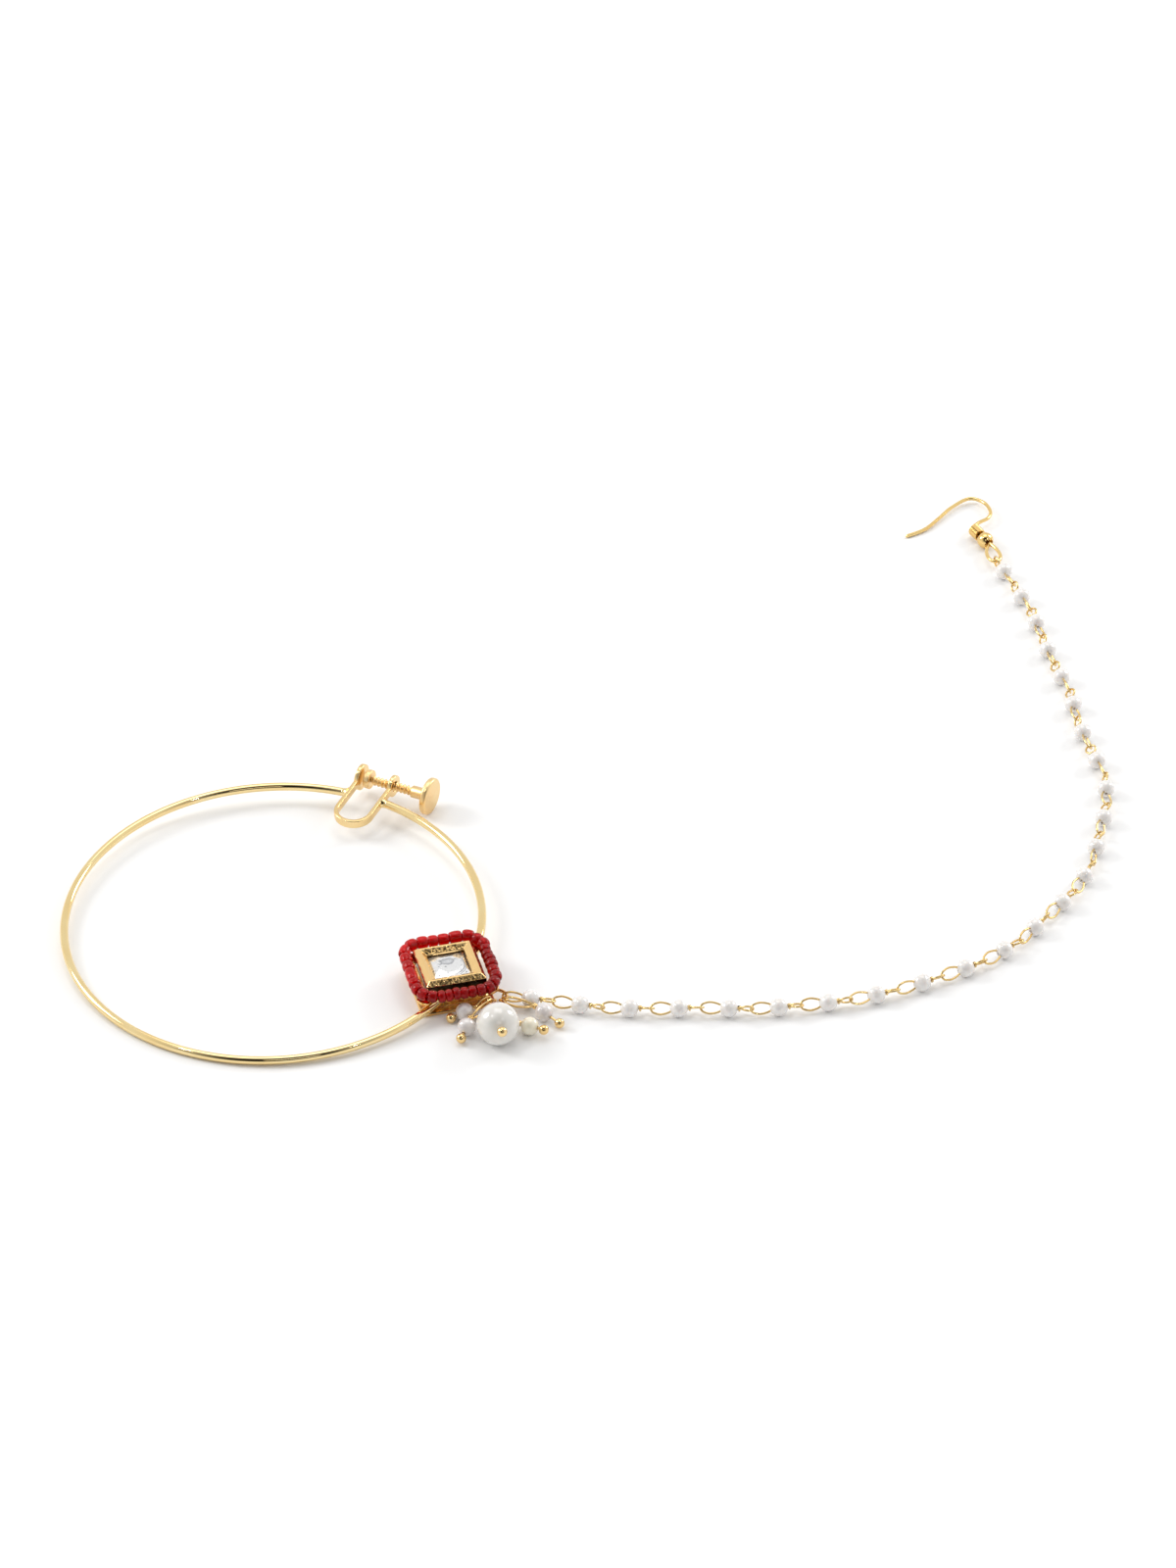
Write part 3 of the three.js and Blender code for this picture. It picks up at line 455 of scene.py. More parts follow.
def screw_shape(sides=56):
    """The rod turned round X. In the thread its radius follows the distance along the rod, less one pitch
    for each turn, as a rounded wave between root and crest."""
    root = THREAD_RADIUS - THREAD_DEPTH
    along = np.arange(THREAD_START, THREAD_END, 0.04)
    angle = np.arange(sides) * 2 * np.pi / sides
    wave = 0.5 + 0.5 * np.cos(2 * np.pi * along[:, None] / THREAD_PITCH - angle)
    fade = np.clip(np.minimum(along - THREAD_START, THREAD_END - along) / 0.3, 0, 1)[:, None]
    radius = root + THREAD_DEPTH * wave ** 0.8 * fade
    thread = np.stack([along[:, None] + 0 * angle, radius * np.cos(angle), radius * np.sin(angle)], axis=-1)
    pivot = turned([[PIVOT_START, 0], [PIVOT_START, PIVOT_RADIUS - 0.06], [PIVOT_START + 0.06, PIVOT_RADIUS],
                    [THREAD_START, PIVOT_RADIUS]], sides)
    turn = np.linspace(0, np.pi / 2, 9)
    knob_start = HUB_END
    knob_end = HUB_END + KNOB_THICKNESS
    rim = KNOB_DIAMETER / 2
    near = np.stack([
        knob_start + KNOB_EDGE * (1 - np.cos(turn)), rim - KNOB_EDGE * (1 - np.sin(turn)),
    ], axis=-1)
    far = np.stack([knob_end - KNOB_EDGE * (1 - np.sin(turn)), rim - KNOB_EDGE * (1 - np.cos(turn))], axis=-1)
    head = turned(np.vstack([
        [[THREAD_END, root], [THREAD_END, HUB_RADIUS - HUB_CHAMFER], [THREAD_END + HUB_CHAMFER, HUB_RADIUS]],
        [[HUB_END - 0.12, HUB_RADIUS], [HUB_END - 0.03, HUB_RADIUS + 0.04], [HUB_END, HUB_RADIUS + 0.14]],
        near, far, [[knob_end, 0.0]],
    ]), sides)
    return np.concatenate([pivot, thread, head], axis=0)


def knob_gold():
    """Satin gold: a fine grain in its relief, its polish and its colour."""
    material, nodes, links, shader = new_material("knob_gold", SATIN_COLOUR)
    shader.inputs["Metallic"].default_value = 1.0
    links.new(between(nodes, links, grain(nodes, links, 0.9), 0.27, 0.40), shader.inputs["Roughness"])
    tint = between(nodes, links, grain(nodes, links, 2.5, 2.0), 0.0, 1.0)
    links.new(toned(nodes, links, tint, (0.90, 0.62, 0.29), SATIN_COLOUR), shader.inputs["Base Color"])
    bumped(nodes, links, shader, grain(nodes, links, 0.12, 4.0), 0.006)
    return material


brushed_gold = knob_gold()
skinned(
    "clamp_screw", [placed(screw_shape(), clamp_origin, clamp_axes)], brushed_gold,
    body="screw", replaces=["screw"], sharp=50,
)
pad_turn = np.linspace(0, np.pi / 2, 9)
pad_profile = np.vstack([
    [[PAD_FACE, 0.0]],
    np.stack([
        PAD_FACE + PAD_EDGE * (1 - np.cos(pad_turn)), PAD_RADIUS - PAD_EDGE * (1 - np.sin(pad_turn)),
    ], axis=-1),
    np.stack([PAD_BACK - 0.15 * (1 - np.sin(pad_turn)), PAD_RADIUS - 0.15 * (1 - np.cos(pad_turn))], axis=-1),
    [[PAD_BACK, PAD_HOLE + 0.4], [PAD_BACK - 0.1, PAD_HOLE + 0.25], [PAD_BACK - 0.1, PAD_HOLE]],
    [[PIVOT_START - 0.12, PAD_HOLE], [PIVOT_START - 0.12, 0.0]],
])
pressure_pad = placed(turned(pad_profile), clamp_origin, clamp_axes)
skinned("pressure_pad", [pressure_pad], brushed_gold, body="pad", replaces=["pad"])

# The backing is a gold box on a wider base plate, with a tab under each corner of the bead border.
# Its sides are beaten thin metal, and the hoop's wire runs through it.
MOTIF_TURN = math.radians(15)
BASE_HALF = 6.2
BASE_THICKNESS = 0.6
BOX_HALF = 5.0
BACKING_HEIGHT = 3.35
TAB_WIDTH = 2.4
TAB_THICKNESS = 0.45
TAB_REACH = 8.96
motif_axes = np.stack([level_way(MOTIF_TURN), level_way(MOTIF_TURN + math.pi / 2), UP])


def square_round(columns, power):
    """A unit square with soft corners: the cosine and sine of a turn over the root, of the given power,
    of the sum of their powers. Steps of the turn are closer together near the corners."""
    even = np.arange(columns) * 2 * np.pi / columns
    angle = even + 0.2 * np.sin(4 * even)
    shape = np.stack([np.cos(angle), np.sin(angle)], axis=-1)
    return shape / (np.abs(shape) ** power).sum(axis=-1, keepdims=True) ** (1 / power)


def squared(profile, columns=144, power=36):
    """A profile of [half side, height] pairs carried round a soft square about Z."""
    profile = np.asarray(profile, float)
    outline = square_round(columns, power)
    level = np.broadcast_to(profile[:, None, 1:], (len(profile), columns, 1))
    return np.concatenate([profile[:, None, :1] * outline, level], axis=-1)


def finely(profile, step):
    """The same profile with points no further apart than the step, on the straight lines between them."""
    profile = np.asarray(profile, float)
    length = np.concatenate([[0], np.cumsum(np.linalg.norm(np.diff(profile, axis=0), axis=1))])
    marks = np.union1d(length, np.arange(0, length[-1], step))
    return np.stack([np.interp(marks, length, profile[:, axis]) for axis in range(profile.shape[1])], axis=-1)


def beaten(points, blows, reach, depth, seed):
    """How far a beaten face is pushed in: deepest at each blow, less with the square of the distance to
    the nearest one, none further off than the reach."""
    chance = np.random.default_rng(seed)
    spots = chance.uniform(points.min(axis=0), points.max(axis=0), (blows, points.shape[-1]))
    nearest = np.full(len(points), np.inf)
    for part in np.array_split(spots, max(1, blows // 40)):
        nearest = np.minimum(nearest, np.linalg.norm(points[:, None] - part, axis=-1).min(axis=1))
    return depth * np.clip(1 - (nearest / reach) ** 2, 0, 1)


def beaten_box():
    """Base plate and box as one soft square profile, the box's sides pushed in by small blows."""
    edge = 0.12
    profile = finely([
        [0.0, 0.0], [BASE_HALF - edge, 0.0], [BASE_HALF, edge], [BASE_HALF, BASE_THICKNESS - edge],
        [BASE_HALF - edge, BASE_THICKNESS], [BOX_HALF + 0.1, BASE_THICKNESS],
        [BOX_HALF, BASE_THICKNESS + 0.1],
        [BOX_HALF, BACKING_HEIGHT - edge], [BOX_HALF - edge, BACKING_HEIGHT], [0.0, BACKING_HEIGHT],
    ], 0.16)
    grid = squared(profile, 288)
    side = (profile[:, 0] > BOX_HALF - 0.02) & (profile[:, 1] > BASE_THICKNESS + 0.15)
    flat = grid[side].reshape(-1, 3)
    dent = beaten(flat, 520, 0.42, 0.11, 3).reshape(side.sum(), -1, 1)
    grid[side, :, :2] *= 1 - dent / BOX_HALF
    return grid


box_gold = gold("box_gold", (0.90, 0.60, 0.25), 0.12, 0.24, 0.5, 0.02)
tab_run = np.linspace(BOX_HALF, TAB_REACH, 24)
tab_tip = np.sqrt(np.clip(1 - ((tab_run - TAB_REACH + 0.5) / 0.5).clip(0) ** 2, 0.02, 1))[:, None, None]
tab_narrowing = np.concatenate([tab_tip, 0 * tab_tip + 1], axis=-1)
tab_section = superellipse(TAB_WIDTH / 2, TAB_THICKNESS / 2, 4.0) * tab_narrowing
tab_heading = np.radians([45, 135, 225, 315])
tab_path = level_way(tab_heading)[:, None, :] * tab_run[:, None] + (BACKING_HEIGHT - TAB_THICKNESS / 2) * UP
corner_tabs = swept(tab_path, tab_section, UP)
skinned(
    "motif_backing",
    [placed(beaten_box(), motif_centre, motif_axes), placed(corner_tabs, motif_centre, motif_axes)],
    box_gold, replaces=["hoop_frame"],
)

# The setting is a square gold frame with a ridge between two slopes. The front and back slopes are
# hammered, the left and right ones are smooth, and an inner lip holds the stone.
SETTING_FOOT = 3.45
SETTING_EDGE = 4.95
RIDGE_TOP = 5.7
SETTING_HALF = 5.0
RIDGE_OUTER = 4.3
RIDGE_INNER = 3.95
OPENING_HALF = 3.1
OPENING_EDGE = 5.1
POCKET_HALF = 3.45
POCKET_FLOOR = 3.75
LIP_UNDER = 4.45
SETTING_SOFT = 0.06


def setting_shape():
    """The frame's profile carried round a soft square. Hammer blows push in the parts of both slopes that lie
    at the front and the back. The second result says how deep each point lies, and is one on the walls below.
    The material paints shade by it: darker in the hollows and almost black on the walls."""
    soft = SETTING_SOFT
    # The hidden level faces at the foot and in the pocket's floor need no fine rows
    between_flats = finely([
        [SETTING_HALF - soft, SETTING_FOOT], [SETTING_HALF, SETTING_FOOT + soft],
        [SETTING_HALF, SETTING_EDGE - soft], [SETTING_HALF - soft, SETTING_EDGE + soft],
        [RIDGE_OUTER + soft, RIDGE_TOP - soft], [RIDGE_OUTER - soft, RIDGE_TOP],
        [RIDGE_INNER + soft, RIDGE_TOP], [RIDGE_INNER - soft, RIDGE_TOP - soft],
        [OPENING_HALF + soft, OPENING_EDGE + soft], [OPENING_HALF, OPENING_EDGE - soft],
        [OPENING_HALF, LIP_UNDER + POCKET_HALF - OPENING_HALF], [POCKET_HALF, LIP_UNDER],
        [POCKET_HALF, POCKET_FLOOR],
    ], 0.055)
    profile = np.vstack([[0.0, SETTING_FOOT], between_flats, [0.0, POCKET_FLOOR]])
    columns = 560
    grid = squared(profile, columns, 60)
    outline = square_round(columns, 60)
    facing = np.clip((np.abs(outline[:, 1]) - np.abs(outline[:, 0])) * 14, 0, 1)
    radius, level = profile[:, 0], profile[:, 1]
    outer = (level > SETTING_EDGE + 0.02) & (radius > RIDGE_OUTER) & (level < RIDGE_TOP - 0.04)
    inner = (level > OPENING_EDGE + 0.05) & (radius < RIDGE_INNER) & (level < RIDGE_TOP - 0.04)
    dents_and_shade = np.zeros(grid.shape[:2])
    for rows, blows, seed in ((outer, 620, 11), (inner, 420, 12)):
        face = grid[rows]
        dents_and_shade[rows] = beaten(face.reshape(-1, 3), blows, 0.3, 0.1, seed).reshape(face.shape[:2]) * facing
    grid[..., 2] -= dents_and_shade
    # Painted shade: the walls below the slopes and the foot are marked one, and the material paints them
    # almost black
    wall = (radius > SETTING_HALF - 0.03) & (level < SETTING_EDGE - 0.03) | (level < SETTING_FOOT + 0.03)
    dents_and_shade[wall] = 1.0
    return grid, dents_and_shade


def setting_gold():
    """Bright gold on the smooth slopes, with painted shade: darker in the hammered hollows and almost black
    on the walls.
    """
    material, nodes, links, shader = new_material("setting_gold", (0.88, 0.56, 0.22))
    shader.inputs["Metallic"].default_value = 1.0
    depth = nodes.new("ShaderNodeAttribute")
    depth.attribute_name = "tone"
    # Painted shade: the colour darkens with the depth of the hollows and is almost black where the walls are
    # marked one
    ramp = nodes.new("ShaderNodeValToRGB")
    ramp.color_ramp.elements[0].color = (0.93, 0.63, 0.28, 1)
    ramp.color_ramp.elements[1].position = 0.5
    ramp.color_ramp.elements[1].color = (0.03, 0.02, 0.012, 1)
    ramp.color_ramp.elements.new(0.08).color = (0.34, 0.21, 0.07, 1)
    links.new(depth.outputs["Fac"], ramp.inputs["Fac"])
    links.new(ramp.outputs["Color"], shader.inputs["Base Color"])
    links.new(between(nodes, links, grain(nodes, links, 0.7), 0.10, 0.20), shader.inputs["Roughness"])
    bumped(nodes, links, shader, grain(nodes, links, 0.35, 3.0), 0.008)
    return material


setting_grid, setting_dents_and_shade = setting_shape()
setting_grid = placed(setting_grid, motif_centre, motif_axes)
skinned(
    "stone_setting", [setting_grid], setting_gold(), replaces=["setting"],
    marks=[setting_dents_and_shade], sharp=30,
)

# The stone is clear cut glass over crinkled silver foil. It sits in the setting's pocket. Painted shade in
# the foil's folds, a painted grey reflection and a thin round crease painted dark show through its table.
# Centre and size of the painted grey reflection on the foil, in millimetres on the stone's own axes
STONE_REFLECTION_CENTRE = (-0.2, 0.75)
STONE_REFLECTION_SIZE = (1.75, 0.95)
STONE_CREASE = 2.45


def foil_glass():
    """A metal whose colour and relief are the foil's, under a smooth clear coat for the glass. Its colour
    holds a painted grey reflection in an ellipse on the stone's own axes, painted shade in a thin circle for
    the crease that fades to the left, and painted shade in the folds."""
    material, nodes, links, shader = new_material("foil_glass", (0.93, 0.94, 0.95))
    shader.inputs["Metallic"].default_value = 0.85
    shader.inputs["Coat Weight"].default_value = 1.0
    shader.inputs["Coat Roughness"].default_value = 0.02
    shader.inputs["Coat IOR"].default_value = 1.6
    place = nodes.new("ShaderNodeTexCoord")

    def own_axes(centre, size):
        """Coordinates from a point of the stone, along its own sides, in units of the size."""
        fitted = nodes.new("ShaderNodeMapping")
        fitted.vector_type = "TEXTURE"
        point = motif_centre + np.array([*centre, 0]) @ motif_axes
        fitted.inputs["Location"].default_value = point * MILLIMETRE
        fitted.inputs["Rotation"].default_value = (0, 0, MOTIF_TURN)
        fitted.inputs["Scale"].default_value = (size[0] * MILLIMETRE, size[1] * MILLIMETRE, 1.0)
        links.new(place.outputs["Object"], fitted.inputs["Vector"])
        flat = nodes.new("ShaderNodeVectorMath")
        flat.operation = "MULTIPLY"
        flat.inputs[1].default_value = (1, 1, 0)
        links.new(fitted.outputs["Vector"], flat.inputs[0])
        distance = nodes.new("ShaderNodeVectorMath")
        distance.operation = "LENGTH"
        links.new(flat.outputs["Vector"], distance.inputs[0])
        return flat.outputs["Vector"], distance.outputs["Value"]

    def ramp_of(value, stops):
        ramp = nodes.new("ShaderNodeValToRGB")
        ramp.color_ramp.interpolation = "EASE"
        while len(ramp.color_ramp.elements) < len(stops):
            ramp.color_ramp.elements.new(0.5)
        for element, (position, colour) in zip(ramp.color_ramp.elements, stops):
            element.position = position
            element.color = (*colour, 1)
        links.new(value, ramp.inputs["Fac"])
        return ramp.outputs["Color"]

    def multiplied(first, second):
        mix = nodes.new("ShaderNodeMix")
        mix.data_type = "RGBA"
        mix.blend_type = "MULTIPLY"
        mix.inputs["Factor"].default_value = 1.0
        links.new(first, mix.inputs["A"])
        links.new(second, mix.inputs["B"])
        return mix.outputs["Result"]

    ragged = nodes.new("ShaderNodeMath")
    ragged.operation = "ADD"
    links.new(own_axes(STONE_REFLECTION_CENTRE, STONE_REFLECTION_SIZE)[1], ragged.inputs[0])
    links.new(between(nodes, links, grain(nodes, links, 0.9, 3.0), -0.3, 0.3), ragged.inputs[1])
    # Painted reflection: a grey ellipse with a darker rim, light outside it
    painted_reflection = ramp_of(ragged.outputs["Value"], [
        (0.0, (0.74, 0.75, 0.77)), (0.45, (0.55, 0.56, 0.58)), (0.7, (0.42, 0.43, 0.45)),
        (1.0, (0.88, 0.88, 0.88)),
    ])
    across, _ = own_axes((0, 0), (1, 1))
    wide = own_axes((0, -0.1), (10, 10))[1]
    # Painted shade: a thin dark circle for the crease and a fainter one beside it
    crease_shade = ramp_of(wide, [
        (0.1 * STONE_CREASE - 0.014, (1, 1, 1)), (0.1 * STONE_CREASE, (0.24, 0.25, 0.27)),
        (0.1 * STONE_CREASE + 0.014, (1, 1, 1)), (0.1 * STONE_CREASE + 0.03, (0.45, 0.46, 0.48)),
        (0.1 * STONE_CREASE + 0.042, (1, 1, 1)),
    ])
    ways = nodes.new("ShaderNodeSeparateXYZ")
    links.new(across, ways.inputs["Vector"])
    rightness = nodes.new("ShaderNodeMapRange")
    rightness.inputs["From Min"].default_value = -0.2
    rightness.inputs["From Max"].default_value = 1.3
    links.new(ways.outputs["X"], rightness.inputs["Value"])
    only_right = nodes.new("ShaderNodeMix")
    only_right.data_type = "RGBA"
    only_right.inputs["A"].default_value = (1, 1, 1, 1)
    links.new(rightness.outputs["Result"], only_right.inputs["Factor"])
    links.new(crease_shade, only_right.inputs["B"])
    # Painted shade in the foil's folds: dark where the noise is low
    folds = grain(nodes, links, 0.5, 5.0)
    fold_shade = ramp_of(folds, [(0.3, (0.28, 0.29, 0.31)), (0.4, (0.93, 0.93, 0.93)), (1.0, (1, 1, 1))])
    colour = multiplied(multiplied(painted_reflection, only_right.outputs["Result"]), fold_shade)
    links.new(colour, shader.inputs["Base Color"])
    links.new(between(nodes, links, grain(nodes, links, 1.2), 0.16, 0.3), shader.inputs["Roughness"])
    bumped(nodes, links, shader, grain(nodes, links, 1.1, 2.0), 0.06, 0.5)
    return material


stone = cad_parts["stone"]
stone.data.materials.clear()
stone.data.materials.append(foil_glass())

# The border is a string of short red glass tube beads on one thread, laid round the setting. The beads
# are cut by hand, so their lengths and widths differ.
BORDER_HALF = 7.05
BORDER_LEFT = 6.45
BORDER_RIGHT = 6.7
BEAD_RADIUS = 1.05
BEAD_HOLE = 0.36
BEAD_LEVEL = 4.5
BEAD_GAP = 0.1
THREAD_WIRE = 0.3
# Radii of the border's corners, clockwise from the back right one
BORDER_CORNERS = (3.4, 3.4, 3.4, 2.7)
# Lengths of the beads in order, clockwise from the back left corner: back, right, front, left
BEAD_LENGTHS = (
    1.9, 1.7, 1.9, 2.25, 2.0, 1.6, 1.6,
    1.3, 1.3, 1.35, 1.5, 1.55, 1.6, 1.65, 1.5,
    1.5, 1.4, 1.35, 1.3, 1.25, 1.3, 1.6, 1.75, 1.6,
    1.45, 2.9, 1.9, 2.05, 2.2, 1.9,
)


def along_path(path, distances):
    """Points and directions at distances along a path of straight steps."""
    length = np.concatenate([[0], np.cumsum(np.linalg.norm(np.diff(path, axis=0), axis=1))])
    at = np.stack([np.interp(distances, length, path[:, axis]) for axis in range(3)], axis=-1)
    ahead = np.stack([np.interp(distances + 0.3, length, path[:, axis]) for axis in range(3)], axis=-1)
    behind = np.stack([np.interp(distances - 0.3, length, path[:, axis]) for axis in range(3)], axis=-1)
    return at, unit(ahead - behind)


def seed_bead_grids():
    """Each bead is a soft rectangle, its length by its wall, turned round the thread: the cosine and sine
    of a turn round the wall, raised to a low power, then a turn round the bead's axis."""
    chance = np.random.default_rng(21)
    corner_turn = np.radians([45, -45, -135, -225])
    sweep = corner_turn[:, None] + np.linspace(np.pi / 4, -np.pi / 4, 40)
    reach = np.array([
        [BORDER_RIGHT, BORDER_HALF, 0], [BORDER_RIGHT, -BORDER_HALF, 0],
        [-BORDER_LEFT, -BORDER_HALF, 0], [-BORDER_LEFT, BORDER_HALF, 0],
    ])
    bend = np.array(BORDER_CORNERS)[:, None]
    ring = ((reach - np.sign(reach) * bend)[:, None] + bend[:, None] * level_way(sweep)).reshape(-1, 3)
    start = ring[-1:]
    ring = np.vstack([start, ring])
    total = np.linalg.norm(np.diff(ring, axis=0), axis=1).sum()
    lengths = np.array(BEAD_LENGTHS)
    lengths = lengths * total / lengths.sum()
    middles = np.cumsum(lengths) - lengths / 2
    at, way = along_path(ring, middles)
    count = len(lengths)
    way = unit(way + chance.normal(0, 0.035, (count, 3)))
    side = unit(np.cross(UP, way))
    lift = np.cross(way, side)
    axes = np.stack([way, side, lift], axis=1)
    outer = BEAD_RADIUS * chance.uniform(0.93, 1.03, count)
    at = at + (BEAD_LEVEL + chance.normal(0, 0.04, count))[:, None] * UP
    at = at + side * chance.normal(0, 0.06, count)[:, None]
    wall_turn = np.linspace(0, 2 * np.pi, 29)
    cosine, sine = np.cos(wall_turn), np.sin(wall_turn)
    flat = np.sign(cosine) * np.abs(cosine) ** 0.92
    thick = np.sign(sine) * np.abs(sine) ** 0.85
    along = (lengths[:, None] / 2 - BEAD_GAP / 2) * flat
    radius = (outer[:, None] + BEAD_HOLE) / 2 + (outer[:, None] - BEAD_HOLE) / 2 * thick
    round_turn = np.arange(28) * 2 * np.pi / 28
    local = np.stack([
        along[:, :, None] + 0 * round_turn,
        radius[:, :, None] * np.cos(round_turn),
        radius[:, :, None] * np.sin(round_turn),
    ], axis=-1)
    grid = at[:, None, None] + np.einsum("brcx,bxy->brcy", local, axes)
    # Painted light: the left and back beads get a lighter tone and the front and right ones a deeper one,
    # with a random spread from bead to bead
    depth = 0.42 - 0.3 * at[:, 0] / BORDER_HALF + 0.25 * at[:, 1] / BORDER_HALF
    depth = depth + chance.normal(0, 0.14, count)
    tone = np.clip(depth, 0, 1)[:, None, None]
    return grid, tone, ring + BEAD_LEVEL * UP


def red_glass():
    """Red glass, half clear, faintly streaked. Its colour paints light: lighter in the left and back beads
    and deeper in the front and right ones, with a random spread from bead to bead.
    """
    material, nodes, links, shader = new_material("red_glass", (0.60, 0.012, 0.02))
    shader.inputs["Roughness"].default_value = 0.03
    shader.inputs["IOR"].default_value = 1.38
    shader.inputs["Specular IOR Level"].default_value = 0.28
    shader.inputs["Transmission Weight"].default_value = 0.6
    tone = nodes.new("ShaderNodeAttribute")
    tone.attribute_name = "tone"
    # Painted light: lighter red where the tone is high, on the left and at the back
    body = toned(nodes, links, tone.outputs["Fac"], (0.46, 0.001, 0.002), (0.82, 0.003, 0.003))
    links.new(body, shader.inputs["Base Color"])
    bumped(nodes, links, shader, grain(nodes, links, 0.6, 2.0), 0.02)
    return material


bead_grid, bead_light_and_tone, thread_ring = seed_bead_grids()
thread_length = np.linalg.norm(np.diff(thread_ring, axis=0), axis=1).sum()
thread_path = along_path(thread_ring, np.linspace(0, thread_length, 160))[0]
thread_path[-1] = thread_path[0]
thread_grid = swept(placed(thread_path, motif_centre, motif_axes), round_section(THREAD_WIRE / 2, 8), UP)
skinned(
    "seed_beads", [placed(bead_grid, motif_centre, motif_axes)], red_glass(),
    replaces=["seed_bead_border"], marks=[bead_light_and_tone],
)


def waxed_thread():
    """Twisted dark red thread: fine noise in its colour and relief for the strands."""
    material, nodes, links, shader = new_material("waxed_thread", (0.30, 0.015, 0.02))
    shader.inputs["Roughness"].default_value = 0.6
    strands = grain(nodes, links, 0.12, 3.0)
    strand_colour = toned(nodes, links, strands, (0.16, 0.008, 0.012), (0.42, 0.03, 0.03))
    links.new(strand_colour, shader.inputs["Base Color"])
    bumped(nodes, links, shader, strands, 0.03)
    return material


skinned("bead_thread", [thread_grid], waxed_thread(), replaces=["seed_bead_border"])

# The drop ring is thick gold wire soldered to the backing's corner. Five pearls hang from it on pins with
# a ball at the lower end, and a bent and wrapped eye at the upper one.
RING_RADIUS = 1.75
RING_WIRE = 0.6
RING_HEIGHT = 1.8
RING_HEADING = math.radians(-32)
PIN_WIRE = 0.42
PIN_EYE_HEIGHT = 1.8
PIN_BALL_RADIUS = 0.825
LINK_CLEARANCE = 0.12
PEARL_BORE = 0.31
SMALL_PEARL = 3.0
LARGE_PEARL = 7.0
# Each drop: name, where it hangs on the ring, which way its pearl lies and how far off, heading and rise
# of its pin, in degrees and millimetres, the pearl's size, the gap between pearl and ball, and whether
# the pearl is cream
DROPS = (
    ("upper_left", -150, -146.3, 6.07, -159.3, -15, SMALL_PEARL, 0.0, False),
    ("lower_left", -121, -123.3, 8.56, -109.2, -9.7, SMALL_PEARL, 0.1, False),
    ("large", -91, -87.4, 8.76, -79.6, 22.4, LARGE_PEARL, 0.0, False),
    ("cream", -61, -51.8, 8.87, -27.1, 4.4, SMALL_PEARL, 0.1, True),
    ("right", -34, -24.6, 8.5, -40, -8.5, SMALL_PEARL, 0.9, False),
)
backing_corner = motif_centre + BOX_HALF * math.sqrt(2) * level_way(MOTIF_TURN - math.pi / 4)
ring_centre = backing_corner + RING_RADIUS * level_way(RING_HEADING) + RING_HEIGHT * UP


def aimed(direction, roll=0.0):
    """Axes of frames whose X lies along a direction and whose Z is as near to up as it can be, then
    rolled about X. Directions may be many."""
    direction = unit(direction)
    side = unit(np.cross(UP, direction))
    lift = np.cross(direction, side)
    roll = np.asarray(roll, float)[..., None]
    return np.stack([
        direction,
        np.cos(roll) * side + np.sin(roll) * lift,
        np.cos(roll) * lift - np.sin(roll) * side,
    ], axis=-2)


def drilled_pearl(radius, bore, rows=40, sides=48):
    """A ball turned round X from the rim of its drilled hole at one pole to the other, the hole's
    rim rounded and its wall running through."""
    start = np.arcsin((bore + 0.05) / radius)
    angle = np.linspace(start, np.pi - start, rows)
    ball = np.stack([-radius * np.cos(angle), radius * np.sin(angle)], axis=-1)
    end = radius * np.cos(start) - 0.08
    hole = np.array([[end, bore], [-end, bore]])
    return turned(np.vstack([ball, hole, ball[:1]]), sides)


def uneven(grid, centre, radius, lumps, depth, seed):
    """A surface drawn in and out along the way from its centre by a sum of slow waves over that way."""
    chance = np.random.default_rng(seed)
    way = (grid - centre) / radius
    waves = chance.normal(0, lumps, (9, 3))
    phases = chance.uniform(0, 2 * np.pi, 9)
    swell = np.cos(way @ waves.T + phases).mean(axis=-1, keepdims=True)
    return grid + depth * swell * way


def pearl_skin(name, light, shade, roughness, lump, lump_height):
    """Nacre: a pale body with soft light under a clear skin, faintly cloudy and faintly uneven."""
    material, nodes, links, shader = new_material(name, light)
    clouds = between(nodes, links, grain(nodes, links, 1.4, 3.0), 0.0, 1.0)
    links.new(toned(nodes, links, clouds, shade, light), shader.inputs["Base Color"])
    shader.inputs["Roughness"].default_value = roughness
    shader.inputs["Specular IOR Level"].default_value = 0.5
    shader.inputs["Subsurface Weight"].default_value = 0.5
    shader.inputs["Subsurface Radius"].default_value = (0.0009, 0.0008, 0.0007)
    shader.inputs["Subsurface Scale"].default_value = 1.0
    shader.inputs["Coat Weight"].default_value = 1.0
    shader.inputs["Coat Roughness"].default_value = 0.12
    shader.inputs["Coat IOR"].default_value = 1.75
    bumped(nodes, links, shader, grain(nodes, links, lump, 3.0), lump_height)
    return material


large_nacre = pearl_skin("large_nacre", (0.78, 0.75, 0.70), (0.72, 0.70, 0.65), 0.24, 1.6, 0.02)
white_nacre = pearl_skin("white_nacre", (0.78, 0.74, 0.71), (0.66, 0.61, 0.60), 0.2, 0.55, 0.03)
cream_nacre = pearl_skin("cream_nacre", (0.91, 0.85, 0.70), (0.86, 0.78, 0.59), 0.24, 0.8, 0.03)
drop_gold = gold("drop_gold", (0.86, 0.63, 0.30), 0.02, 0.05, 2.0, 0.004)

# Bends of a wire eye: shares of its length away from the neck and of half its width, one full way round
EYE_BENDS = np.array([
    (0.0, 0.0), (0.10, 0.32), (0.34, 0.80), (0.62, 1.0), (0.88, 0.72), (1.0, 0.0),
    (0.88, -0.72), (0.62, -1.0), (0.34, -0.80), (0.12, -0.36), (0.03, -0.12),
])


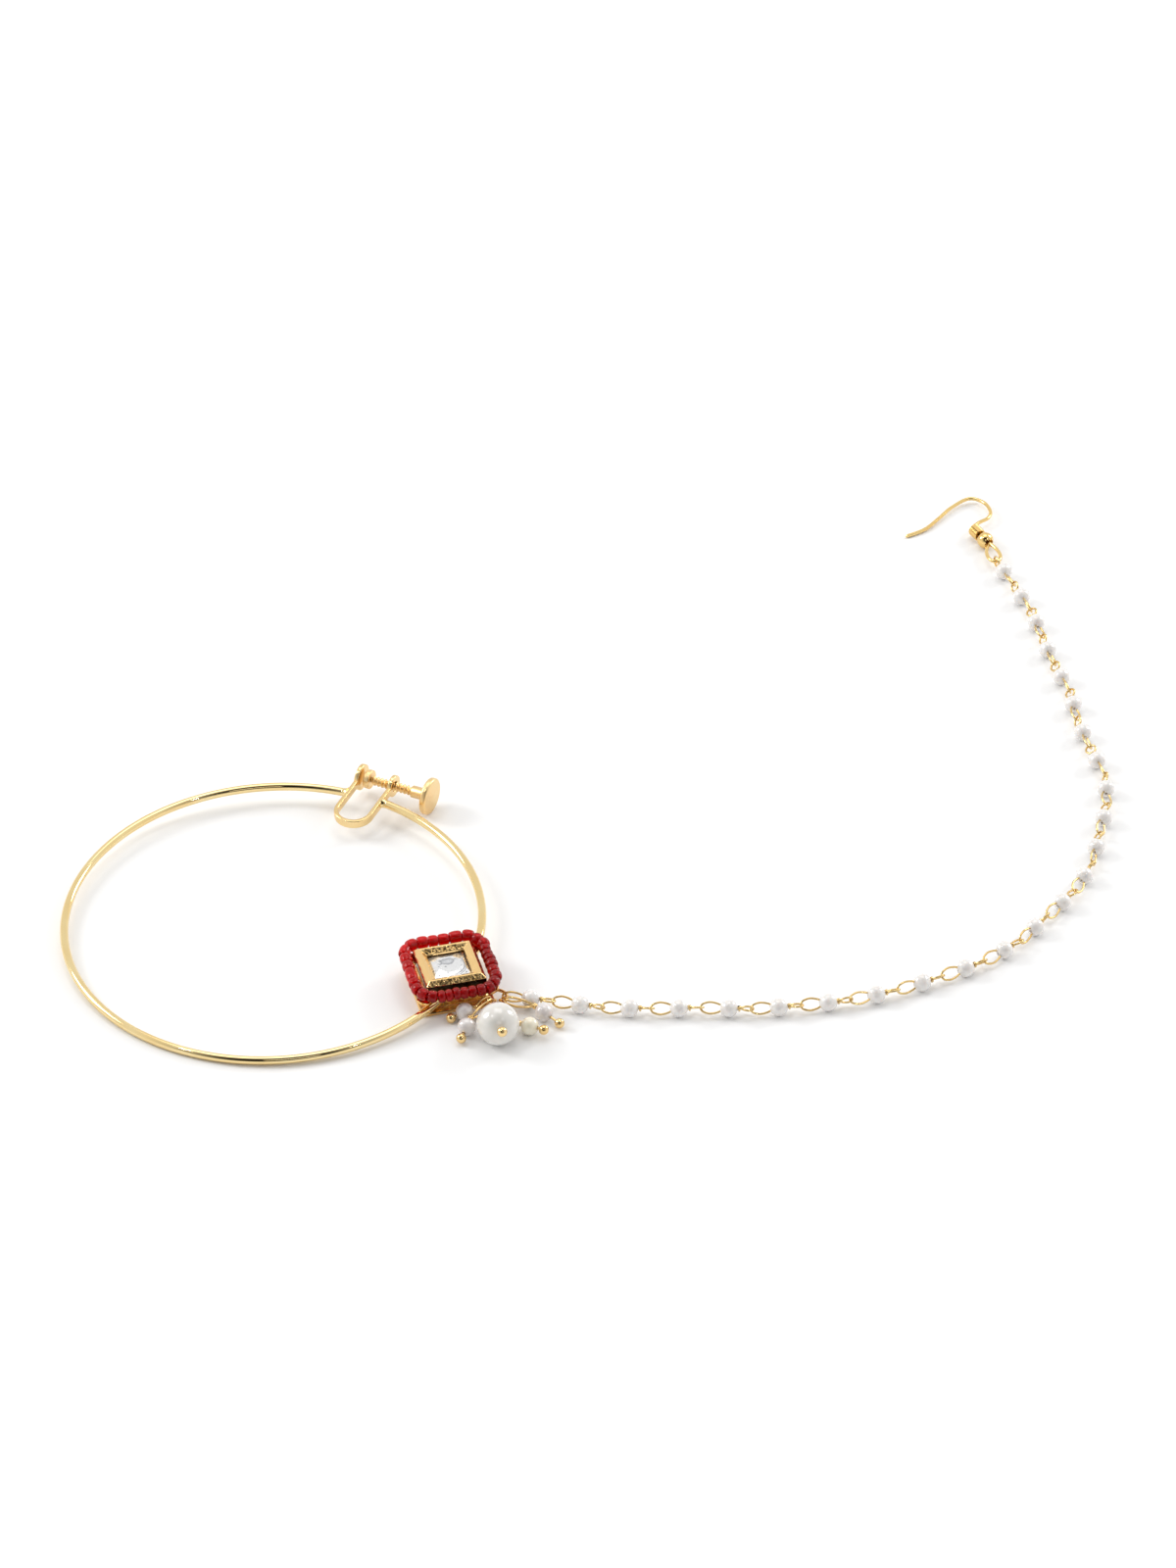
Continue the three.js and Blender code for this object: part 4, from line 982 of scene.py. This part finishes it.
def curve_through(points, steps):
    """A smooth curve through chosen points. Each stretch is a cubic whose directions at its ends come from
    the neighbouring points, each gap weighted by the square root of its length."""
    points = np.asarray(points, float)
    points = np.vstack([2 * points[:1] - points[1:2], points, 2 * points[-1:] - points[-2:-1]])
    gaps = np.linalg.norm(np.diff(points, axis=0), axis=1, keepdims=True) ** 0.5
    before, start, end, after = points[:-3], points[1:-2], points[2:-1], points[3:]
    gap_before, gap, gap_after = gaps[:-2], gaps[1:-1], gaps[2:]
    leave = gap * ((start - before) / gap_before - (end - before) / (gap_before + gap) + (end - start) / gap)
    arrive = gap * ((end - start) / gap - (after - start) / (gap + gap_after) + (after - end) / gap_after)
    share = (np.arange(steps) / steps)[:, None, None]
    curve = (
        start
        + leave * share
        + (3 * (end - start) - 2 * leave - arrive) * share ** 2
        + (2 * (start - end) + leave + arrive) * share ** 3
    )
    return np.vstack([curve.transpose(1, 0, 2).reshape(-1, points.shape[1]), points[-2:-1]])


def eye_line(neck, tip, width, shift):
    """An eye in its own XZ plane from its neck to its tip along X. The wire comes back to the neck
    beside where it left, so it shifts slowly along Y."""
    bends = curve_through(EYE_BENDS, 5)
    share = np.linspace(0, 1, len(bends))
    return np.stack([
        neck + (tip - neck) * bends[:, 0], shift * share ** 2, width / 2 * bends[:, 1],
    ], axis=-1)


def wrap_line(start, end, radius, turns):
    """Wire wound round X from start to end."""
    turn = np.linspace(0, 2 * np.pi * turns, int(20 * turns)) - np.pi / 2
    along = np.linspace(start, end, len(turn))
    return np.stack([along, radius * np.cos(turn), radius * np.sin(turn)], axis=-1)


def hang_drop(name, hangs_at, heading, reach, pin_heading, pin_rise, size, ball_gap, cream):
    """One drop: its pearl lies on the table. The pin's shank runs through the pearl on a slant of its own,
    and the wire turns at the neck towards the ring."""
    hangs_at, heading, pin_heading, pin_rise = np.radians([hangs_at, heading, pin_heading, pin_rise])
    standoff = (RING_WIRE + PIN_WIRE) / 2 + LINK_CLEARANCE
    on_ring = ring_centre + (RING_RADIUS - standoff) * level_way(hangs_at)
    centre = (ring_centre + reach * level_way(heading)) * np.array([1, 1, 0]) + size / 2 * UP
    shank_axes = aimed(math.cos(pin_rise) * level_way(pin_heading) + math.sin(pin_rise) * UP)
    neck_at = -size / 2 - PIN_WIRE
    neck = centre + neck_at * shank_axes[0]
    eye_axes = aimed(neck - on_ring)
    eye = eye_line(np.linalg.norm(neck - on_ring), 0.0, PIN_EYE_HEIGHT, 0.1)
    wrap = wrap_line(neck_at - 0.28, neck_at + 0.28, PIN_WIRE * 0.85, 1.8)
    ball_at = size / 2 + ball_gap + PIN_BALL_RADIUS + 0.1
    shank = np.stack([np.linspace(neck_at - 0.1, ball_at, 16), np.zeros(16), np.zeros(16)], axis=-1)
    polar = np.linspace(0, np.pi, 30)
    ball = turned(np.stack([
        ball_at - PIN_BALL_RADIUS * np.cos(polar), PIN_BALL_RADIUS * np.sin(polar),
    ], axis=-1))
    wires = [
        swept(placed(eye, on_ring, eye_axes), round_section(PIN_WIRE / 2), eye_axes[1]),
        swept(placed(wrap, centre, shank_axes), round_section(PIN_WIRE / 2 * 0.8), shank_axes[0]),
        swept(placed(shank, centre, shank_axes), round_section(PIN_WIRE / 2), UP),
        placed(ball, centre, shank_axes),
    ]
    skinned(f"{name}_pin", wires, drop_gold, replaces=[f"{name}_drop_pin"])
    large = size > SMALL_PEARL
    pearl = uneven(drilled_pearl(size / 2, PEARL_BORE), 0.0, size / 2, 2.2, 0.006 * size, len(name))
    nacre = large_nacre if large else cream_nacre if cream else white_nacre
    skinned(
        f"{name}_pearl", [placed(pearl, centre, shank_axes)], nacre, replaces=[f"{name}_drop_pearl"],
    )


ring_turn = np.linspace(0, 2 * np.pi, 97)
ring_path = ring_centre + RING_RADIUS * level_way(ring_turn)
ring_path[-1] = ring_path[0]
skinned(
    "drop_ring", [swept(ring_path, round_section(RING_WIRE / 2, 20), UP)], drop_gold,
    replaces=["hoop_frame"],
)
for drop in DROPS:
    hang_drop(*drop)

# The chain is small pearls on short lengths of gold wire. Each wire is bent to a long open eye on the
# side of the motif and to a small wrapped eye on the side of the ear hook, and the eyes hook together.
CHAIN_PEARL = 3.0
CHAIN_COUNT = 25
CHAIN_LONG_EYE = 2.85
CHAIN_SHORT_EYE = 2.3
CHAIN_WIRE = 0.37
CHAIN_LONG_WIDTH = 1.95
CHAIN_SHORT_WIDTH = 1.75
CHAIN_BITE = 0.13
CHAIN_HANGS_AT = math.radians(10)
CHAIN_TOUCH = 0.205
# The way that the chain lies, as chosen points from its first eye to its last
CHAIN_ROUTE = np.array([
    [0, 0], [4.4, -0.7], [11.9, -1.4], [20.1, -3.5], [28.0, -2.1], [36.3, -3.3], [44.2, -2.3],
    [52.4, -1.6], [60.3, 0.7], [67.9, 3.5], [75.0, 7.6], [81.5, 11.2], [87.1, 18.3], [92.2, 24.9],
    [96.6, 31.7], [98.3, 39.4], [100.5, 48.1], [101.6, 56.4], [100.0, 64.1], [97.7, 71.7], [97.5, 79.9],
    [95.3, 87.6], [93.5, 95.8], [92.1, 103.8], [90.1, 111.6], [86.8, 118.3], [86.1, 121.7],
])


def chain_joints():
    """Equal steps of the chain's length along its way, which starts inside the drop ring."""
    way = curve_through(np.hstack([CHAIN_ROUTE, np.zeros((len(CHAIN_ROUTE), 1))]), 40)
    length = np.linalg.norm(np.diff(way, axis=0), axis=1).sum()
    steps = along_path(way, np.linspace(0, length, CHAIN_COUNT + 1))[0]
    pitch = CHAIN_PEARL + CHAIN_LONG_EYE + CHAIN_SHORT_EYE
    inset = (RING_WIRE + CHAIN_BITE) / 2 + LINK_CLEARANCE
    start = ring_centre + RING_RADIUS * level_way(CHAIN_HANGS_AT) - np.array([inset, 0, 0])
    joints = steps * CHAIN_COUNT * pitch / length + start
    joints[:, 2] = CHAIN_PEARL / 2
    joints[0, 2] = RING_HEIGHT
    return joints


joints = chain_joints()
link_way = joints[1:] - joints[:-1]
bead_share = (CHAIN_LONG_EYE + CHAIN_PEARL / 2) / (CHAIN_PEARL + CHAIN_LONG_EYE + CHAIN_SHORT_EYE)
bead_at = joints[:-1] + bead_share * link_way
link_number = np.arange(CHAIN_COUNT)


def long_eyes():
    """Eyes towards the motif. Their two wires open onto the pearl, so the neck lies inside it."""
    roll = np.radians(38 + 20 * np.sin(2.1 * link_number))
    roll[0] = 0.0
    axes = aimed(-link_way, roll)
    tip = np.linalg.norm(bead_at - joints[:-1], axis=1).mean() + CHAIN_TOUCH
    line = eye_line(0.55, tip, CHAIN_LONG_WIDTH, 0.06)
    path = bead_at[:, None] + np.einsum("px,bxy->bpy", line, axes)
    return swept(path, round_section(CHAIN_WIRE / 2, 10), axes[:, 1:2])


def short_eyes():
    """Eyes towards the hook, with the wire's end wound once round the neck beside the pearl."""
    roll = np.radians(42 + 22 * np.sin(2.6 * link_number + 1.3))
    roll[-1] = 0.0
    axes = aimed(link_way, roll)
    radius = CHAIN_PEARL / 2
    tip = np.linalg.norm(bead_at - joints[1:], axis=1).mean() + CHAIN_TOUCH
    line = eye_line(radius + 0.3, tip, CHAIN_SHORT_WIDTH, 0.15)
    neck = np.stack([np.linspace(radius - 0.3, radius + 0.36, 4), np.zeros(4), np.zeros(4)], axis=-1)
    wrap = wrap_line(radius + 0.42, radius + 0.1, CHAIN_WIRE * 0.9, 1.35)
    grids = []
    for part, reference in ((line, 1), (neck, 1), (wrap, 0)):
        path = bead_at[:, None] + np.einsum("px,bxy->bpy", part, axes)
        grids.append(swept(path, round_section(CHAIN_WIRE / 2, 10), axes[:, reference:reference + 1]))
    return grids


def chain_pearls():
    """Balls with a small drilled hole at each pole, each drawn in and out by its own slow waves."""
    chance = np.random.default_rng(5)
    ball = drilled_pearl(CHAIN_PEARL / 2, 0.22, 26, 32)
    way = ball / (CHAIN_PEARL / 2)
    waves = chance.normal(0, 3.4, (CHAIN_COUNT, 8, 3))
    phases = chance.uniform(0, 2 * np.pi, (CHAIN_COUNT, 8, 1, 1))
    swell = np.cos(np.einsum("rcx,bkx->bkrc", way, waves) + phases).mean(axis=1)[..., None]
    local = ball * 0.995 + 0.05 * swell * way
    return bead_at[:, None, None] + np.einsum("brcx,bxy->brcy", local, aimed(link_way))


chain_nacre = pearl_skin("chain_nacre", (0.86, 0.83, 0.80), (0.78, 0.745, 0.72), 0.16, 0.4, 0.05)
chain_gold = gold("chain_gold", (0.78, 0.58, 0.27), 0.12, 0.2, 1.0, 0.006)
skinned("chain_pearls", [chain_pearls()], chain_nacre, replaces=["pearl_chain"])
skinned("chain_wire", [long_eyes(), *short_eyes()], chain_gold, replaces=["pearl_chain"])

# The ear hook is one gold wire: a loop for the chain, a straight shank through a drilled ball and a
# close-wound coil, then the bend that sits over the ear and an outward tail with a rounded end.
HOOK_WIRE = 0.66
HOOK_BALL_RADIUS = 1.45
HOOK_BALL_BORE = 0.8
HOOK_COIL_RADIUS = 1.15
HOOK_COIL_LENGTH = 2.6
HOOK_COIL_TURNS = 6
HOOK_LOOP_LENGTH = 5.5
HOOK_LOOP_WIDTH = 2.5
HOOK_LOOP_TURN = math.radians(10)
HOOK_TURN = math.radians(19)
HOOK_HEIGHT = 13.4
HOOK_WIDTH = 17.6
HOOK_BORE_CLEARANCE = 0.1
HOOK_END_IN_BALL = 0.165
# Bends of the wire above the coil: shares of the hook's height along its shank, of its width across it,
# and of the ball's radius for the height at which it lies
HOOK_BENDS = np.array([
    (0.389, 0.102, 0.94), (0.431, 0.241, 0.88), (0.542, 0.327, 0.8), (0.786, 0.366, 0.7),
    (0.969, 0.285, 0.62), (0.931, 0.049, 0.52), (0.802, -0.183, 0.4), (0.702, -0.385, 0.3),
    (0.691, -0.627, 0.24),
])
hook_gold = gold("hook_gold", (0.90, 0.66, 0.28), 0.09, 0.16, 1.6, 0.006)
last_way = unit(joints[-1] - joints[-2])
loop_heading = math.atan2(last_way[1], last_way[0])
loop_end = joints[-1] - last_way * ((HOOK_WIRE + CHAIN_BITE) / 2 + LINK_CLEARANCE)
loop_mouth = loop_end + HOOK_LOOP_LENGTH * level_way(loop_heading - HOOK_LOOP_TURN)
loop_mouth[2] = HOOK_BALL_RADIUS
shank_way = level_way(loop_heading + HOOK_TURN - HOOK_LOOP_TURN)
ball_centre = loop_mouth + (HOOK_BALL_RADIUS - HOOK_END_IN_BALL) * shank_way
hook_axes = aimed(shank_way)
coil_start = HOOK_BALL_RADIUS + HOOK_BORE_CLEARANCE


def hook_wire_path():
    """The shank from the ball's mouth to the coil's far end, then a smooth curve through the bends."""
    bends = HOOK_BENDS * np.array([HOOK_HEIGHT, -HOOK_WIDTH, HOOK_BALL_RADIUS]) - HOOK_BALL_RADIUS * UP
    straight = np.array([
        [-HOOK_BALL_RADIUS + HOOK_END_IN_BALL, 0, 0], [0, 0, 0], [coil_start, 0, 0],
        [coil_start + HOOK_COIL_LENGTH - 0.8, 0, 0], [coil_start + HOOK_COIL_LENGTH + 0.15, 0, 0],
    ])
    return curve_through(np.vstack([straight, bends]), 14)


def hook_loop_path():
    """A drop-shaped loop in the level plane, from the ball's mouth round and back into it."""
    share = np.linspace(0.0, 1.0, 64)
    along = (1 - np.cos(2 * np.pi * share)) / 2
    spread = np.sin(2 * np.pi * share) * np.sin(np.pi * share) ** 0.7
    line = np.stack([HOOK_LOOP_LENGTH * along, 0 * share, HOOK_LOOP_WIDTH / 2 * 1.12 * spread], axis=-1)
    line[:, 1] = 0.14 * (2 * share - 1) ** 3
    level_end = loop_end * np.array([1, 1, 0]) + HOOK_BALL_RADIUS * UP
    return line, aimed(level_end - loop_mouth, math.pi / 2)


hook_path = hook_wire_path()
end_away = np.linalg.norm(hook_path - hook_path[-1], axis=1)[:, None, None]
end_round = np.sqrt(np.clip(1 - (1 - end_away / (HOOK_WIRE / 2)).clip(0) ** 2, 0.0025, 1))
hook_grid = swept(placed(hook_path, ball_centre, hook_axes), round_section(HOOK_WIRE / 2, 20) * end_round, UP)
loop_line, loop_axes = hook_loop_path()
loop_grid = swept(placed(loop_line, loop_mouth, loop_axes), round_section(HOOK_WIRE / 2, 20), loop_axes[1])
skinned("ear_wire", [hook_grid, loop_grid], hook_gold, replaces=["ear_hook"])
coil_wire = HOOK_COIL_LENGTH / (HOOK_COIL_TURNS + 1)
coil_line = wrap_line(
    coil_start + coil_wire / 2, coil_start + HOOK_COIL_LENGTH - coil_wire / 2,
    HOOK_COIL_RADIUS - coil_wire / 2, HOOK_COIL_TURNS,
)
coil_grid = swept(
    placed(coil_line, ball_centre, hook_axes), round_section(coil_wire / 2 * 0.99, 12), hook_axes[0],
)
coil_core = turned([
    [coil_start + 0.1, 0.43], [coil_start + 0.1, 0.72], [coil_start + HOOK_COIL_LENGTH - 0.1, 0.72],
    [coil_start + HOOK_COIL_LENGTH - 0.1, 0.43], [coil_start + 0.1, 0.43],
])
skinned(
    "ear_hook_coil", [coil_grid, placed(coil_core, ball_centre, hook_axes)], hook_gold,
    replaces=["hook_coil"],
)
hook_ball = drilled_pearl(HOOK_BALL_RADIUS, HOOK_BALL_BORE, 44, 56)
skinned(
    "ear_hook_ball", [placed(hook_ball, ball_centre, hook_axes)], hook_gold, replaces=["hook_ball"],
)
